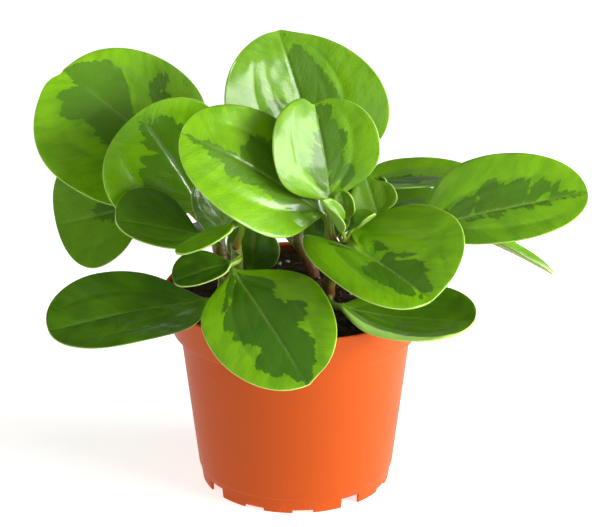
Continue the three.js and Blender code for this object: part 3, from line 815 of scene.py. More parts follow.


# ---------------------------------------------------------------------------
# Leaves
# ---------------------------------------------------------------------------

# Each leaf's values; what a leaf leaves out is in LEAF_DEFAULTS.
# shoot, at: the shoot that carries the leaf and how far up it, from 0 to 1
# base, tip: ends of the blade's midrib, mm about the pot's axis; width: widest measure across
# roll: turn about the midrib, in degrees; arch: bend along the midrib
# fold: rise of each half at the midrib; cup: further curl towards the margin, left and right
# widest: place of each half's greatest width along the midrib, from 0 to 1
# heel, crest: fullness of each half's outline towards the petiole and towards the tip
# notch, lobe: how far each half stands out beyond the tip and behind the base
# skew: how much wider the left half is; pairs are left and right, seen from the petiole
# lift: how steeply the petiole leaves the shoot; slim: its thickness against the usual
# age_and_painted_shade: 0 for a young variegated leaf, 1 for one that is dark all over; on most leaves
# this darkening comes with the years, on left_dark, right_dark and rear_right it is painted shade for
# leaves that sit in shade
# tone, gloss: brightness and shine against the usual; pale: how faint the dark patch is, from 0 to 1;
# on left_mid the raised tone and pale are painted light, a lift that stands in for glare on its left half
# band: width of the dull pale band along the right margin, mm; it is the underside colour, made
# brighter as painted light, painted on the upper face where the real leaf curls up
# dark: ovals of the dark patch: middle along the midrib from 0 to 1, middle across from -1 to 1
# (left is above 0), and the half length and half width of each oval in the same measures
LEAVES = {
    "back_left": dict(
        shoot="left", at=0.98, base=(-43, 33, 128), tip=(-104, 27, 184), width=80.6, roll=-52, arch=18,
        fold=(-6, -6), widest=(0.68, 0.38), heel=(1.9, 2.4), notch=(3.5, -1), skew=0.06, age_and_painted_shade=0.0,
        tone=1.12, gloss=0.5, pale=0.4,
        dark=(
            (0.86, -0.3, 0.17, 0.36), (0.76, -0.22, 0.14, 0.3), (0.68, -0.1, 0.1, 0.2),
            (0.53, -0.66, 0.045, 0.2), (0.48, -0.55, 0.09, 0.1), (0.82, 0.2, 0.09, 0.24),
            (0.72, 0.12, 0.14, 0.2), (0.58, 0.14, 0.14, 0.22), (0.4, 0.1, 0.25, 0.25),
        ),
    ),
    "left_low": dict(
        shoot="left", at=0.78, base=(-69, 43, 116), tip=(-111, 38, 107), width=51, roll=-70, cup=(14, 14),
        widest=(0.66, 0.66), heel=(1.6, 1.6), skew=-0.06, age_and_painted_shade=0.3, tone=0.8, gloss=0.3,
        dark=((0.3, 0.0, 0.3, 0.2),),
    ),
    # Its raised tone and pale are painted light: they lift the leaf to stand in for the glare on its left
    # half, which sits in shade under front_left
    "left_mid": dict(
        shoot="left", at=0.9, base=(-42, 6, 127), tip=(-69, 5, 171.5), width=65, roll=-62, arch=24,
        cup=(14, 14), skew=0.12, age_and_painted_shade=0.1, tone=1.4, gloss=1.6, pale=0.3,
        dark=(
            (0.6, -0.15, 0.32, 0.22), (0.45, -0.35, 0.25, 0.3), (0.8, -0.3, 0.08, 0.12),
            (0.75, 0.08, 0.22, 0.12), (0.45, 0.2, 0.25, 0.3), (0.2, 0.3, 0.2, 0.5),
        ),
    ),
    "front_left": dict(
        shoot="crown", at=0.8, base=(12, -14, 131), tip=(-48, -33, 174), width=54.5, roll=-52, arch=26,
        fold=(0, 0), widest=(0.5, 0.5), skew=0.03, age_and_painted_shade=0.0, gloss=1.1, pale=0.4,
        dark=(
            (0.78, 0.03, 0.2, 0.1), (0.62, 0.12, 0.16, 0.18), (0.52, -0.25, 0.12, 0.36),
            (0.5, 0.0, 0.2, 0.22), (0.3, -0.2, 0.3, 0.5), (0.25, 0.14, 0.22, 0.2),
        ),
    ),
    "upper_mid": dict(
        shoot="crown", at=0.915, base=(15, -17, 138), tip=(8, -7, 179), width=54, roll=-10, arch=20,
        fold=(16, 16), cup=(6, 6), notch=(4, 2), skew=0.08, age_and_painted_shade=0.0, tone=0.8, gloss=0.6, pale=0.3,
        dark=(
            (0.55, -0.14, 0.42, 0.2), (0.62, -0.26, 0.16, 0.18), (0.9, -0.18, 0.09, 0.2),
            (0.24, -0.42, 0.1, 0.16), (0.35, 0.12, 0.25, 0.18),
        ),
    ),
    "back_top": dict(
        shoot="back", at=0.93, base=(11, 33, 137), tip=(-8, 38, 200), width=78.5, roll=-56, arch=20,
        cup=(16, 16), widest=(0.5, 0.3), heel=(2.3, 2.6), crest=(2.1, 1.68), notch=(1, -2), lobe=(0, 10),
        skew=-0.015, age_and_painted_shade=0.12, tone=0.88, gloss=0.8, pale=0.4,
        dark=(
            (0.62, -0.2, 0.26, 0.24), (0.82, -0.28, 0.1, 0.12), (0.45, -0.2, 0.3, 0.26),
            (0.35, 0.3, 0.22, 0.26),
        ),
    ),
    "right_back": dict(
        shoot="back", at=0.8, base=(28, 18, 134.3), tip=(88, 31, 132.8), width=37, roll=2,
        widest=(0.5, 0.5), heel=(3.2, 3.2), age_and_painted_shade=0.2, gloss=0.4,
        dark=((0.3, -0.2, 0.3, 0.3),),
    ),
    # Dark all over as painted shade: this leaf fills the shaded place below right_back
    "right_dark": dict(
        shoot="crown", at=0.66, base=(38, 16, 120), tip=(78, 32, 118), width=44, roll=2, age_and_painted_shade=0.7,
        gloss=0.4,
    ),
    "right_big": dict(
        shoot="right", at=0.98, base=(57, -6, 122), tip=(127, -14, 140.8), width=43.5, roll=46, arch=14,
        cup=(6, 6), widest=(0.38, 0.58), heel=(2.6, 1.9), lobe=(5, 5), skew=0.2, age_and_painted_shade=0.0, tone=1.2,
        gloss=1.2, pale=0.35,
        dark=(
            (0.2, 0.14, 0.1, 0.18), (0.3, 0.2, 0.1, 0.16), (0.45, 0.3, 0.09, 0.26), (0.5, 0.14, 0.3, 0.16),
            (0.55, 0.25, 0.14, 0.2), (0.74, 0.28, 0.12, 0.2), (0.85, 0.08, 0.12, 0.1),
            (0.36, -0.16, 0.09, 0.07), (0.6, -0.06, 0.3, 0.05),
        ),
    ),
    "right_sliver": dict(
        shoot="right", at=0.75, base=(80, 0, 117), tip=(114.5, -6, 100.4), width=32, roll=-14, arch=8,
        age_and_painted_shade=0.1, tone=1.3,
        dark=((0.5, 0.0, 0.3, 0.3),),
    ),
    "front_right": dict(
        shoot="crown", at=0.72, base=(25, -29, 121.5), tip=(57, -60, 109), width=63.3, roll=20, arch=16,
        fold=(4, 8), cup=(6, 6), widest=(0.42, 0.42), heel=(2.8, 2.8), lobe=(13, 27), skew=0.23, age_and_painted_shade=0.0,
        gloss=1.2, pale=0.15,
        dark=(
            (0.6, 0.14, 0.2, 0.2), (0.78, 0.12, 0.14, 0.18), (0.42, 0.1, 0.12, 0.14),
            (0.3, 0.18, 0.07, 0.1), (0.42, -0.34, 0.07, 0.14), (0.58, -0.2, 0.16, 0.18),
            (0.76, -0.2, 0.14, 0.16), (0.16, -0.28, 0.06, 0.12), (0.5, -0.1, 0.2, 0.1),
        ),
    ),
    # Its band paints a brightened underside colour along the right margin: painted light on a curled-up
    # margin
    "low_right": dict(
        shoot="crown", at=0.4, base=(19, -32, 95), tip=(76, -53, 97), width=48, roll=10, arch=-14,
        widest=(0.62, 0.6), heel=(2.3, 1.7), skew=-0.06, age_and_painted_shade=0.75, tone=1.15, band=7,
    ),
    "front_mid": dict(
        shoot="middle", at=0.66, base=(-27, -35, 113), tip=(5, -79, 79), width=58, roll=14, fold=(2, 2),
        cup=(3, 3), widest=(0.4, 0.48), notch=(-1.5, 0), age_and_painted_shade=0.0, tone=0.85, gloss=0.8,
        dark=(
            (0.5, 0.0, 0.52, 0.42), (0.48, 0.4, 0.09, 0.22), (0.2, 0.3, 0.12, 0.2), (0.78, 0.3, 0.2, 0.22),
            (0.35, -0.45, 0.14, 0.18), (0.1, -0.35, 0.1, 0.2), (0.76, -0.4, 0.1, 0.2),
            (0.9, 0.1, 0.1, 0.3), (0.52, -0.4, 0.06, 0.18),
        ),
    ),
    "low_left": dict(
        shoot="left", at=0.42, base=(-38.5, -22, 93.5), tip=(-105, -50, 90.5), width=54, roll=-14, arch=14,
        fold=(6, 6), cup=(6, 6), widest=(0.58, 0.58), heel=(3, 2), age_and_painted_shade=0.9, tone=1.1, gloss=1.5,
    ),
    # Dark all over as painted shade, for a leaf that sits in shade under the leaves above it
    "left_dark": dict(
        shoot="left", at=0.68, base=(-41, -20, 123), tip=(-76.5, -34, 135), width=42, roll=-22, arch=10,
        fold=(8, 8), cup=(14, 14), age_and_painted_shade=0.85,
    ),
    "strip": dict(
        shoot="middle", at=0.97, base=(-26, -41.5, 136.5), tip=(-49.5, -56, 128.8), width=19, roll=8,
        arch=8, fold=(0, 0), cup=(4, 4), skew=0.25, age_and_painted_shade=0.1, tone=1.35,
    ),
    "small_left": dict(
        shoot="middle", at=0.88, base=(-27.5, -41.5, 118.9), tip=(-51, -50.6, 113.5), width=22.5, roll=-15,
        arch=8, fold=(8, 8), skew=-0.1, age_and_painted_shade=1.0, tone=0.75, gloss=0.6,
    ),
    "mid_dark": dict(
        shoot="middle", at=0.55, base=(-19.5, -13, 104.5), tip=(-16.5, -17, 127), width=24.5, roll=128,
        arch=10, widest=(0.6, 0.6), age_and_painted_shade=1.0, tone=0.8, gloss=0.5,
    ),
    "crown_outer": dict(
        shoot="crown", at=0.92, base=(20.2, -29, 128.4), tip=(11.1, -31, 143.2), width=15, arch=4,
        fold=(12, 48), cup=(10, 25), widest=(0.35, 0.35), heel=(4, 4), skew=0.07, lift=1.6, slim=0.6,
        age_and_painted_shade=0.05, tone=0.9, gloss=0.5,
    ),
    "crown_right": dict(
        shoot="crown", at=0.99, base=(25.8, -25.4, 129.2), tip=(34.6, -22.4, 134.4), width=16, arch=-10,
        fold=(22, 30), cup=(20, 10), widest=(0.5, 0.5), heel=(3, 3), skew=-0.15, slim=0.6, age_and_painted_shade=0.05,
        tone=0.9, gloss=0.5,
    ),
    "crown_inner": dict(
        shoot="crown", at=0.985, base=(22.8, -19.5, 131), tip=(19.8, -18, 143.4), width=11, roll=-70,
        arch=10, fold=(20, 20), cup=(30, 30), skew=-0.1, slim=0.6, age_and_painted_shade=0.05, tone=0.8, gloss=0.4,
    ),
    "crown_back": dict(
        shoot="crown", at=0.92, base=(36.5, -3, 126.5), tip=(31, 3, 143.4), width=21.5, roll=-30, arch=10,
        fold=(6, 6), widest=(0.45, 0.2), heel=(4.5, 2.5), notch=(-1, -3), lobe=(3, 0), skew=-0.04,
        age_and_painted_shade=0.15, tone=0.6, gloss=0.1,
    ),
    "crown_small": dict(
        shoot="crown", at=0.8, base=(36.8, 4.5, 134), tip=(37.6, 6.5, 141.8), width=9, arch=10,
        fold=(10, 10), cup=(20, 20), slim=0.6, age_and_painted_shade=0.2, tone=0.8, gloss=0.3,
    ),
    "shade": dict(
        shoot="left", at=0.84, base=(-29.6, -5.2, 120.4), tip=(-43, -9, 144), width=27, roll=-60, arch=10,
        fold=(10, 10), age_and_painted_shade=0.6,
    ),
    "rear_left": dict(
        shoot="left", at=0.72, base=(-30, 44, 118), tip=(-44, 88, 122), width=46, arch=16, fold=(8, 8),
        age_and_painted_shade=0.1,
        dark=(
            (0.5, 0.1, 0.4, 0.3), (0.3, -0.3, 0.2, 0.2),
        ),
    ),
    "rear_mid": dict(
        shoot="back", at=0.82, base=(4, 44, 122), tip=(6, 92, 124), width=50, arch=16, fold=(8, 8),
        age_and_painted_shade=0.0,
        dark=(
            (0.45, -0.1, 0.4, 0.35), (0.65, 0.25, 0.2, 0.2),
        ),
    ),
    # Made darker as painted shade, for a leaf that sits in shade behind the crown
    "rear_right": dict(
        shoot="back", at=0.6, base=(12, 37, 99), tip=(26, 62, 121), width=40, arch=16, fold=(8, 8),
        lobe=(4, 0), skew=0.15, age_and_painted_shade=0.6,
        dark=((0.5, 0.0, 0.4, 0.4),),
    ),
    "rear_low_left": dict(
        shoot="left", at=0.4, base=(-38, 30, 101), tip=(-56, 67, 95), width=40, arch=16, fold=(8, 8),
        age_and_painted_shade=0.9,
    ),
    "rear_low": dict(
        shoot="back", at=0.4, base=(-6, 44, 103), tip=(-16, 86, 100), width=46, arch=16, fold=(8, 8),
        age_and_painted_shade=0.8,
    ),
    "rear_low_right": dict(
        shoot="right", at=0.4, base=(46, 20, 102), tip=(74, 50, 98), width=40, arch=16, fold=(8, 8),
        age_and_painted_shade=0.7,
    ),
}
LEAF_DEFAULTS = dict(
    roll=0, arch=12, fold=(4, 4), cup=(10, 10), widest=(0.55, 0.55), heel=(2.3, 2.3), crest=(2.1, 2.1),
    notch=(0, 0), lobe=(0, 0), skew=0, lift=0.8, slim=1, tone=1, gloss=1, pale=0, band=0, dark=(),
)
GRID = 0.75  # spacing of the points on a leaf's upper face, mm
# Side veins: start along the midrib, reach across, run of the bend, depth
SIDE_VEINS = ((0.02, 0.58, 0.2, 1.0), (0.15, 0.38, 0.2, 0.4), (0.36, 0.46, 0.24, 0.3))
MIDRIB_WIDTH, NARROW_WIDTH, BROAD_WIDTH = 0.9, 0.75, 3.2  # of the bell curves along the veins, mm
MIDRIB_GROOVE, NARROW_GROOVE, BROAD_GROOVE = 0.34, 0.26, 0.42  # depths in the upper face, mm
MIDRIB_RIDGE, SIDE_RIDGE = 0.55, 0.12  # heights on the lower face, mm
SLOW_WAVE, QUICK_WAVE, MARGIN_WAVE = 0.3, 0.09, 0.55  # heights of the unevenness, mm
SLOW_SIZE, QUICK_SIZE = 9, 3.5  # from one rise to the next, mm
PATTERN_SHIFT = 37.0  # between the patterns of one leaf and the next, in the noise


def blade_axes(leaf):
    """Directions of the blade: x from base to tip, left across it and up out of its face."""
    base, tip = np.array(leaf["base"], float), np.array(leaf["tip"], float)
    x = unit(tip - base)
    level = unit(np.cross([0.0, 0, 1], x))
    normal = np.cross(x, level)
    roll = math.radians(leaf["roll"])
    left = math.cos(roll) * level + math.sin(roll) * normal
    up = -math.sin(roll) * level + math.cos(roll) * normal
    return base, float(np.linalg.norm(tip - base)), x, left, up


def section(width, spacing):
    """The points around a leaf's cross-section, from the left margin over the upper face to the right
    margin and back below. Returns across, from 1 to -1, closer together at the midrib and the
    margins: s - 0.45 sin(2 pi s) / 2 pi; and the face, 1 above and -1 below."""
    above = 2 * max(12, round(width / spacing / 2))
    below = 2 * max(8, round(width / spacing / 5))
    s = np.concatenate([1 - 2 * np.arange(above) / above, -1 + 2 * np.arange(below) / below])
    across = s - 0.45 * np.sin(2 * np.pi * s) / (2 * np.pi)
    face = np.where(np.arange(above + below) < above, 1.0, -1.0)
    return across, face


def vein_marks(u, across, half):
    """How near a point is to a vein, 0 to 1: the midrib, and side veins that leave it at their
    start and bend towards the tip, |across| = reach (1 - exp(-(u - start) / run)). Returns the
    midrib's bell curve, the narrow and the broad bell curves of the side veins."""
    a = np.abs(across)
    midrib = bell(a * half, MIDRIB_WIDTH) * smooth((1.02 - u) * 4)
    narrow, broad = np.zeros_like(a * u), np.zeros_like(a * u)
    for start, reach, run, depth in SIDE_VEINS:
        course = reach * (1 - np.exp(-np.clip(u - start, 0, None) / run))
        away = (a - course) * half
        fade = depth * smooth((u - start) / 0.08) * smooth((0.95 - u) * 3)
        narrow = np.maximum(narrow, bell(away, NARROW_WIDTH) * fade)
        broad = np.maximum(broad, bell(away, BROAD_WIDTH) * fade)
    return midrib, narrow, broad


def blade_surface(leaf, axes, u, across, face, look, seed):
    """Points of the blade for u from petiole to tip and for the section's points.

    The midrib is a circular arc. On each side the blade leaves it at the fold angle and curls on
    along a circle, the further the more cup. Its outline is the widest half times
    (1 - t^p)^(1/p), where t runs from 0 at the widest place to 1 at each end, and passes into the
    round petiole over the first part of u. The thickness follows (1 - across^q)^(1/q), with q = 2
    at the petiole and 4 on the blade. The tip's dent and the base's ears slide points along the
    midrib. Grooves, the lower ridge and uneven noise are added square to the face.

    Returns the points and what the finish reads: the place on the blade in mm; how deep inside the
    dark patch, distance from the margin and face; darkness all over, for older leaves and as painted
    shade, nearness to the petiole and vein; tone (on left_mid partly painted light), paleness and
    band (an underside colour lifted as painted light); gloss."""
    base, length, x, left, up = axes
    sign = np.sign(across)

    def pair(key):
        # the left or the right one of two values, by the side of the midrib that a point is on
        return np.array(leaf[key])[np.where(across >= 0, 0, 1)]

    arch = math.radians(leaf["arch"])
    theta = arch * (0.5 - u)
    scale = length / (2 * math.sin(arch / 2))
    half = leaf["width"] / 2
    widest = pair("widest")
    t = np.where(u < widest, (widest - u) / widest, (u - widest) / (1 - widest))
    power = np.where(u < widest, pair("heel"), pair("crest"))
    outline = half * np.clip(1 - t**power, 0, None) ** (1 / power)
    start = (1 - u) ** 8
    stalk = look.stalk * leaf["slim"]
    skew = 1 + np.where(across >= 0, leaf["skew"], -leaf["skew"])
    local = outline * skew * (1 - start) + stalk * start
    a = np.abs(across) * local / half
    fold = np.radians(pair("fold")) * (1 - start)
    cup = np.radians(pair("cup"))
    bend = fold + cup * a
    y = sign * (half / cup) * (np.sin(bend) - np.sin(fold))
    z = (half / cup) * (np.cos(fold) - np.cos(bend))
    q = 4 - 2 * start
    body = np.clip(1 - np.abs(across) ** q, 0, None) ** (1 / q)
    thick = (look.thickness / 2) * (1 - start) + stalk * start
    midrib, narrow, broad = vein_marks(u, across, local)
    settled = smooth((u - 0.02) / 0.12)
    along_mm, across_mm = u * length, sign * a * half
    slow = lattice_noise(along_mm / SLOW_SIZE + 3 * seed, across_mm / SLOW_SIZE + 20, seed)
    quick = lattice_noise(along_mm / QUICK_SIZE + 5 * seed, across_mm / QUICK_SIZE + 40, seed + 50)
    grooves = MIDRIB_GROOVE * midrib + NARROW_GROOVE * narrow + BROAD_GROOVE * broad
    above = SLOW_WAVE * slow + QUICK_WAVE * quick - grooves
    below = MIDRIB_RIDGE * midrib * (1 - u) ** 0.7 + SIDE_RIDGE * narrow
    relief = np.where(face > 0, above, below) * settled * smooth((1 - np.abs(across)) * local / 1.5)
    lift = face * (body * thick + relief)
    wave = MARGIN_WAVE * a**2 * settled * lattice_noise(u * 3.2 + 7 * seed, sign * 2 + 10, seed + 9)
    clear = np.clip(a - stalk / half, 0, None)
    forward = pair("notch") * smooth((u - 0.55) / 0.45)
    back = pair("lobe") * smooth(1 - u / 0.5)
    slide = (forward - back) * ease(clear / 0.25)
    along = np.cos(theta)[..., None] * x + np.sin(theta)[..., None] * up
    out = -np.sin(theta)[..., None] * x + np.cos(theta)[..., None] * up
    spine = (
        base
        + scale * (math.sin(arch / 2) - np.sin(theta))[..., None] * x
        + scale * (np.cos(theta) - math.cos(arch / 2))[..., None] * up
    )
    tilt = sign * np.sin(bend)
    points = (
        spine
        + slide[..., None] * along
        + (y - lift * tilt)[..., None] * left
        + (z + wave + lift * np.cos(bend))[..., None] * out
    )
    edge = (1 - np.abs(across)) * local
    patch = np.full(points.shape[:2], -1.0)
    for middle, aside, run, reach in leaf["dark"]:
        oval = 1 - np.hypot((u - middle) / run, (across - aside) / reach)
        patch = np.maximum(patch, oval * 2 * min(run * length, reach * half) / 10)
    blade = triple(along_mm, across_mm, PATTERN_SHIFT * seed)
    marks = triple(np.clip(patch, -1, 1), edge, face * body)
    vein = np.maximum(midrib**3 * (1 - 0.75 * u), 0.12 * narrow)
    nature = triple(leaf["age_and_painted_shade"], 1 - smooth(u / 0.06), vein)
    # The band along the right margin, where the underside colour is painted on the upper face
    band = leaf["band"] * np.sin(np.pi * np.clip(u, 0, 1) ** 0.8)
    banded = smooth((band - edge) / 0.8 + 0.5) * (across < 0) * (leaf["band"] > 0)
    variant = triple(leaf["tone"], leaf["pale"], banded)
    wax = triple(leaf["gloss"], 0.0, 0 * a)
    return points, blade, marks, nature, variant, wax


def petiole_surface(leaf, axes, shoot, across, face, look, seed):
    """The leaf stalk: a tube along a cubic curve that starts square to the shoot and runs into the
    midrib, a little thicker at the joint, with a shallow channel on top."""
    base, _, x, left, up = axes
    joint = shoot_line(shoot, leaf["at"])[0]
    grain = shoot_grain(shoot, leaf["at"])[0]
    out = base - joint
    out = unit(out - grain * out.dot(grain))
    start = joint + (shoot_radius(shoot, leaf["at"]) + GAP) * out
    arch = math.radians(leaf["arch"])
    run = math.cos(arch / 2) * x + math.sin(arch / 2) * up
    reach = 0.38 * np.linalg.norm(base - start)
    leave = unit(out + np.array([0, 0, leaf["lift"]]))
    a, b, c, d = start, start + reach * leave, base - reach * run, base
    s = np.linspace(0, 1, max(8, round(np.linalg.norm(base - start) / 1.2)) + 1)[:-1, None]
    centre = (1 - s) ** 3 * a + 3 * s * (1 - s) ** 2 * b + 3 * s**2 * (1 - s) * c + s**3 * d
    slope = (1 - s) ** 2 * (b - a) + 2 * s * (1 - s) * (c - b) + s**2 * (d - c)
    slope[0] = out
    slope = unit(slope)
    sideways = unit(left - slope * (slope @ left)[:, None])
    upwards = np.cross(slope, sideways)
    swell = 1 + 0.2 * bell(s, 0.06) * smooth(s / 0.02 + 0.3)
    body = np.sqrt(np.clip(1 - across**2, 0, 1))[None]
    channel = 0.22 * bell(across, 0.3) * (face > 0) * smooth(s / 0.2)
    stalk = look.stalk * leaf["slim"] * swell
    wide, tall = stalk * across[None], stalk * face[None] * (body - channel)
    points = tube(centre, sideways, upwards, wide, tall)
    none = np.zeros(points.shape[:2])
    blade = triple((s - 1) * 20, across * 1.5 + none, PATTERN_SHIFT * seed)
    marks = triple(-1, 9, face * body + none)
    nature = triple(leaf["age_and_painted_shade"], 2 - s, none)
    variant = triple(leaf["tone"], leaf["pale"], none)
    wax = triple(leaf["gloss"], 0.0, none)
    return start, points, blade, marks, nature, variant, wax


def leaf_surface(leaf, shoot, look, seed):
    """A whole leaf as one closed surface, petiole first. Returns points, faces and the data that its
    finish reads."""
    axes = blade_axes(leaf)
    across, face = section(leaf["width"], GRID)
    steps = max(28, round(1.3 * axes[1] / GRID))
    u = np.sin(np.pi / 2 * np.arange(steps) / steps)[:, None] + 0 * across
    blade = blade_surface(leaf, axes, u, across + 0 * u, face + 0 * u, look, seed)
    start, *stalk = petiole_surface(leaf, axes, shoot, across, face, look, seed)
    points, *fields = (np.concatenate(pair) for pair in zip(stalk, blade))
    tip = blade[0][-1].mean(0) * 0.4 + np.array(leaf["tip"], float) * 0.6
    data = {
        name: closed(field, field[0].mean(0), field[-1].mean(0))
        for name, field in zip(("blade", "marks", "nature", "variant", "wax"), fields)
    }
    return closed(points, start, tip), ring_faces(*points.shape[:2]), data


def leaf_finish(look):
    """Variegated leaf. A dark patch whose border breaks into fingers along the side veins lies in a
    yellow-green field with mid-green streaks; the edge has a thin pale line; veins are paler; old
    leaves are dark all over, and leaves that sit in shade are made dark all over as painted shade;
    the underside is pale and dull, and so is a band along one margin on some leaves, where the
    underside colour, made brighter as painted light, is painted on the upper face. Each leaf's tone
    scales its colour, and on left_mid that lift is painted light. The upper face is waxy, with fine
    wrinkles that run along the veins. The noises are laid out in mm along and across the blade."""
    finish = Finish("leaf_blade")
    along, across, seed = finish.parts(finish.vector("blade"))
    patch, edge, face = finish.parts(finish.vector("marks"))
    age_and_painted_shade, stalk, vein = finish.parts(finish.vector("nature"))
    # The first number scales each leaf's colour; on left_mid that lift is painted light
    brightness_and_painted_light, pale, band = finish.parts(finish.vector("variant"))
    gloss, _, _ = finish.parts(finish.vector("wax"))
    out = abs(across)
    lane = along - out * 0.75  # constant along a side vein
    half = finish.ramp(across, -0.3, 0.3) * 31.0 + seed  # different left and right of the midrib
    finger = finish.noise_at(lane * 0.2, out * 0.07, half, 2.0, 0.6)
    jag = finish.noise_at(along * 0.9, across * 0.9, seed, 3.0, 0.6)
    streak = finish.noise_at(lane * 0.16, out * 0.05, half + 9.0, 3.0, 0.6)
    cloud = finish.noise_at(along * 0.07, across * 0.07, seed + 3.0)
    grain = finish.noise_at(along * 1.9, across * 1.9, seed, 3.0, 0.7)
    line = finish.noise_at(lane * 1.5, out * 0.2, half)
    wrinkle = finish.noise_at(lane * 0.85, out * 0.42, half, 3.0, 0.6)

    border = patch + (finger - 0.5) * 2.3 + (jag - 0.5) * 0.6
    dark = finish.ramp(border, -0.05, 0.07)
    halo = finish.ramp(border, -0.3, -0.02)
    streaked = finish.ramp(streak * 0.6 + cloud * 0.4, 0.42, 0.6)
    young = finish.mix(streaked * 0.55, look.margin, look.middle)
    young = finish.mix(halo * 0.25, young, look.middle)
    deep = finish.mix(pale, look.patch, look.faint)
    spots = finish.ramp(jag * 0.5 + line * 0.5, 0.56, 0.64) * 0.4
    inside = finish.mix(spots, deep, finish.mix(0.45, deep, look.middle))
    young = finish.mix(dark * 0.93, young, inside)
    clouded = finish.ramp(streak * 0.5 + cloud * 0.5, 0.4, 0.62)
    # Dark green all over: older leaves, and painted shade on leaves that sit in shade
    old = finish.mix(clouded * 0.5, look.aged_and_shaded, look.middle)
    tone = finish.mix(age_and_painted_shade, young, old)
    tone = finish.mix(grain * 0.16, tone, scaled(look.margin, 1.5))
    tone = finish.mix(vein * (0.3 - age_and_painted_shade * 0.12), tone, look.rim)
    # The band is the underside colour lifted 2.2 times: painted light where the real leaf curls up and
    # shows its underside
    tone = finish.mix(band, tone, scaled(look.under, 2.2)) * brightness_and_painted_light
    tone = finish.mix(finish.ramp(face, -0.25, 0.1, 1.0, 0.0), tone, look.under)
    tone = finish.mix(finish.ramp(edge, 0.5, 0.12) * 0.65, tone, look.rim)
    blush = finish.ramp(stalk + (line - 0.5) * 0.4, 1.35, 2.0)
    petiole = finish.mix(blush * 0.8, look.petiole, look.blush)
    tone = finish.mix(stalk.least(1.0), tone, petiole)

    dull = (1.0 - gloss + band) * 0.2
    return finish.finish(
        Base_Color=tone,
        Roughness=finish.ramp(face, -0.3, 0.3, 0.5, look.roughness) + (grain - 0.5) * 0.1 + dull,
        Normal=finish.bump(wrinkle * 0.7 + grain * 0.3, 0.00035, 1.0),
        Coat_Weight=finish.ramp(face, 0.0, 0.5) * gloss * 0.6,
        Coat_Roughness=0.18,
        Specular_IOR_Level=0.16,
        Subsurface_Weight=0.12,
        Subsurface_Radius=(0.0012, 0.0022, 0.0002),
        Subsurface_Scale=1.0,
        IOR=1.46,
    )


class PLANT_OT_leaves(bpy.types.Operator):
    """Make the leaves with their stalks"""

    bl_idname = "plant.leaves"
    bl_label = "Leaves"

    def execute(self, context):
        look = context.scene.plant_leaf
        wax = leaf_finish(look)
        for number, (name, own) in enumerate(LEAVES.items()):
            leaf = {**LEAF_DEFAULTS, **own}
            points, faces, data = leaf_surface(leaf, SHOOTS[leaf["shoot"]], look, number + 1)
            make_piece(f"blade_{name}", points, faces, wax, f"leaf_{name}", "leaf", data)
        return {"FINISHED"}


# ---------------------------------------------------------------------------
# Stage
# ---------------------------------------------------------------------------

PLANT_MIDDLE = (0, 0, 0.13)  # what the lights are aimed at, m
# Soft lights by name: place, width and height in m, and tint
LIGHTS = {
    "key": ((1.16, -0.33, 0.36), 1.2, 0.44, (1, 0.985, 0.96)),
    "fill": ((-1.05, -0.5, 0.7), 0.6, 0.9, (1, 1, 1)),
    "back": ((0.1, 1.3, 0.5), 0.6, 0.4, (1, 1, 1)),
}
FLOOR_REACH = 6.0  # half the floor's side, m
FLOOR_DROP = 0.0001  # how far the floor lies below the pot's foot, m


def soft_light(name, place, target, width, height, power, tint):
    """A rectangular soft light at a place, aimed at a point; metres, watts."""
    data = bpy.data.lights.new(name, "AREA")
    data.shape = "RECTANGLE"
    data.size, data.size_y = width, height
    data.energy = power
    data.color = tint
    lamp = bpy.data.objects.new(name, data)
    bpy.context.scene.collection.objects.link(lamp)
    lamp.location = place
    away = Vector(target) - lamp.location
    lamp.rotation_euler = away.to_track_quat("-Z", "Y").to_euler()


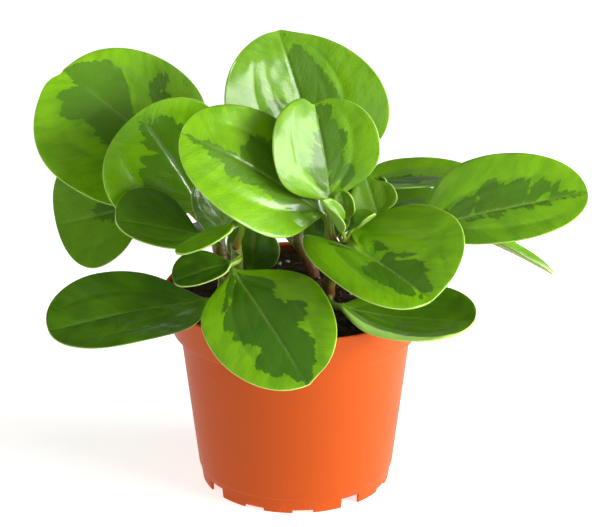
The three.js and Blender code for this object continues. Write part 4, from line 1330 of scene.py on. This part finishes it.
class PLANT_OT_stage(bpy.types.Operator):
    """Set up the camera, the pale floor and the soft lights"""

    bl_idname = "plant.stage"
    bl_label = "Stage"

    def execute(self, context):
        look = context.scene.plant_stage
        scene = context.scene
        data = bpy.data.cameras.new("front_camera")
        data.lens, data.sensor_width, data.clip_end = look.lens, 36.0, 100.0
        camera = bpy.data.objects.new("front_camera", data)
        camera.location = Vector(POT_AXIS) + Vector((look.aside, -look.distance, look.height))
        camera.rotation_euler = (math.pi / 2 - look.pitch, 0, 0)
        scene.collection.objects.link(camera)
        scene.camera = camera

        mesh = bpy.data.meshes.new("floor")
        corners = ((-1, -1), (1, -1), (1, 1), (-1, 1))
        points = [(x * FLOOR_REACH, y * FLOOR_REACH, -FLOOR_DROP) for x, y in corners]
        mesh.from_pydata(points, [], [(0, 1, 2, 3)])
        floor = bpy.data.objects.new("floor", mesh)
        scene.collection.objects.link(floor)
        paper = Finish("floor_paper")
        tooth = paper.noise(paper.place(), 900.0, 2.0)
        tone = paper.mix(tooth * 0.04, srgb(246, 246, 246), srgb(232, 232, 232))
        mesh.materials.append(
            paper.finish(
                Base_Color=tone,
                Roughness=0.85,
                Specular_IOR_Level=0.2,
                Emission_Color=(1.0, 1.0, 1.0),
                Emission_Strength=0.68,
            )
        )

        for name, (place, width, height, tint) in LIGHTS.items():
            soft_light(f"{name}_light", place, PLANT_MIDDLE, width, height, getattr(look, name), tint)

        world = scene.world or bpy.data.worlds.new("surroundings")
        scene.world = world
        world.use_nodes = True
        sky = Sky(world.node_tree)
        _, depth, height = sky.parts(sky.direction())
        glow = sky.ramp(height, 0.25, 0.85, look.horizon, look.zenith)
        dimmed = sky.ramp(depth, -0.1, 0.5, 1.0, 0.15)  # darker behind the plant
        sky.plug(sky.background.inputs["Strength"], glow * dimmed)
        scene.view_settings.view_transform = "Standard"
        return {"FINISHED"}


# ---------------------------------------------------------------------------
# Panel, registration and run
# ---------------------------------------------------------------------------


class PLANT_PT_panel(bpy.types.Panel):
    """The steps that make the plant, with their sizes and colours"""

    bl_label = "Potted Peperomia"
    bl_idname = "PLANT_PT_panel"
    bl_space_type = "VIEW_3D"
    bl_region_type = "UI"
    bl_category = "Plant"

    def draw(self, context):
        for operator, group in STEPS:
            box = self.layout.box()
            box.operator(operator.bl_idname)
            look = getattr(context.scene, group)
            for name in look.__annotations__:
                box.prop(look, name)


GROUPS = {
    "plant_pot": PotLook,
    "plant_soil": SoilLook,
    "plant_shoot": ShootLook,
    "plant_leaf": LeafLook,
    "plant_stage": StageLook,
}
STEPS = (
    (PLANT_OT_stage, "plant_stage"),
    (PLANT_OT_pot, "plant_pot"),
    (PLANT_OT_soil, "plant_soil"),
    (PLANT_OT_shoots, "plant_shoot"),
    (PLANT_OT_leaves, "plant_leaf"),
)
CLASSES = (*GROUPS.values(), *(operator for operator, _ in STEPS), PLANT_PT_panel)


def register():
    for item in CLASSES:
        bpy.utils.register_class(item)
    for name, group in GROUPS.items():
        setattr(bpy.types.Scene, name, PointerProperty(type=group))


def unregister():
    for name in GROUPS:
        delattr(bpy.types.Scene, name)
    for item in reversed(CLASSES):
        bpy.utils.unregister_class(item)


def main():
    """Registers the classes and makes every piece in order."""
    register()
    bpy.ops.plant.stage()
    bpy.ops.plant.pot()
    bpy.ops.plant.soil()
    bpy.ops.plant.shoots()
    bpy.ops.plant.leaves()


if __name__ == "__main__":
    main()
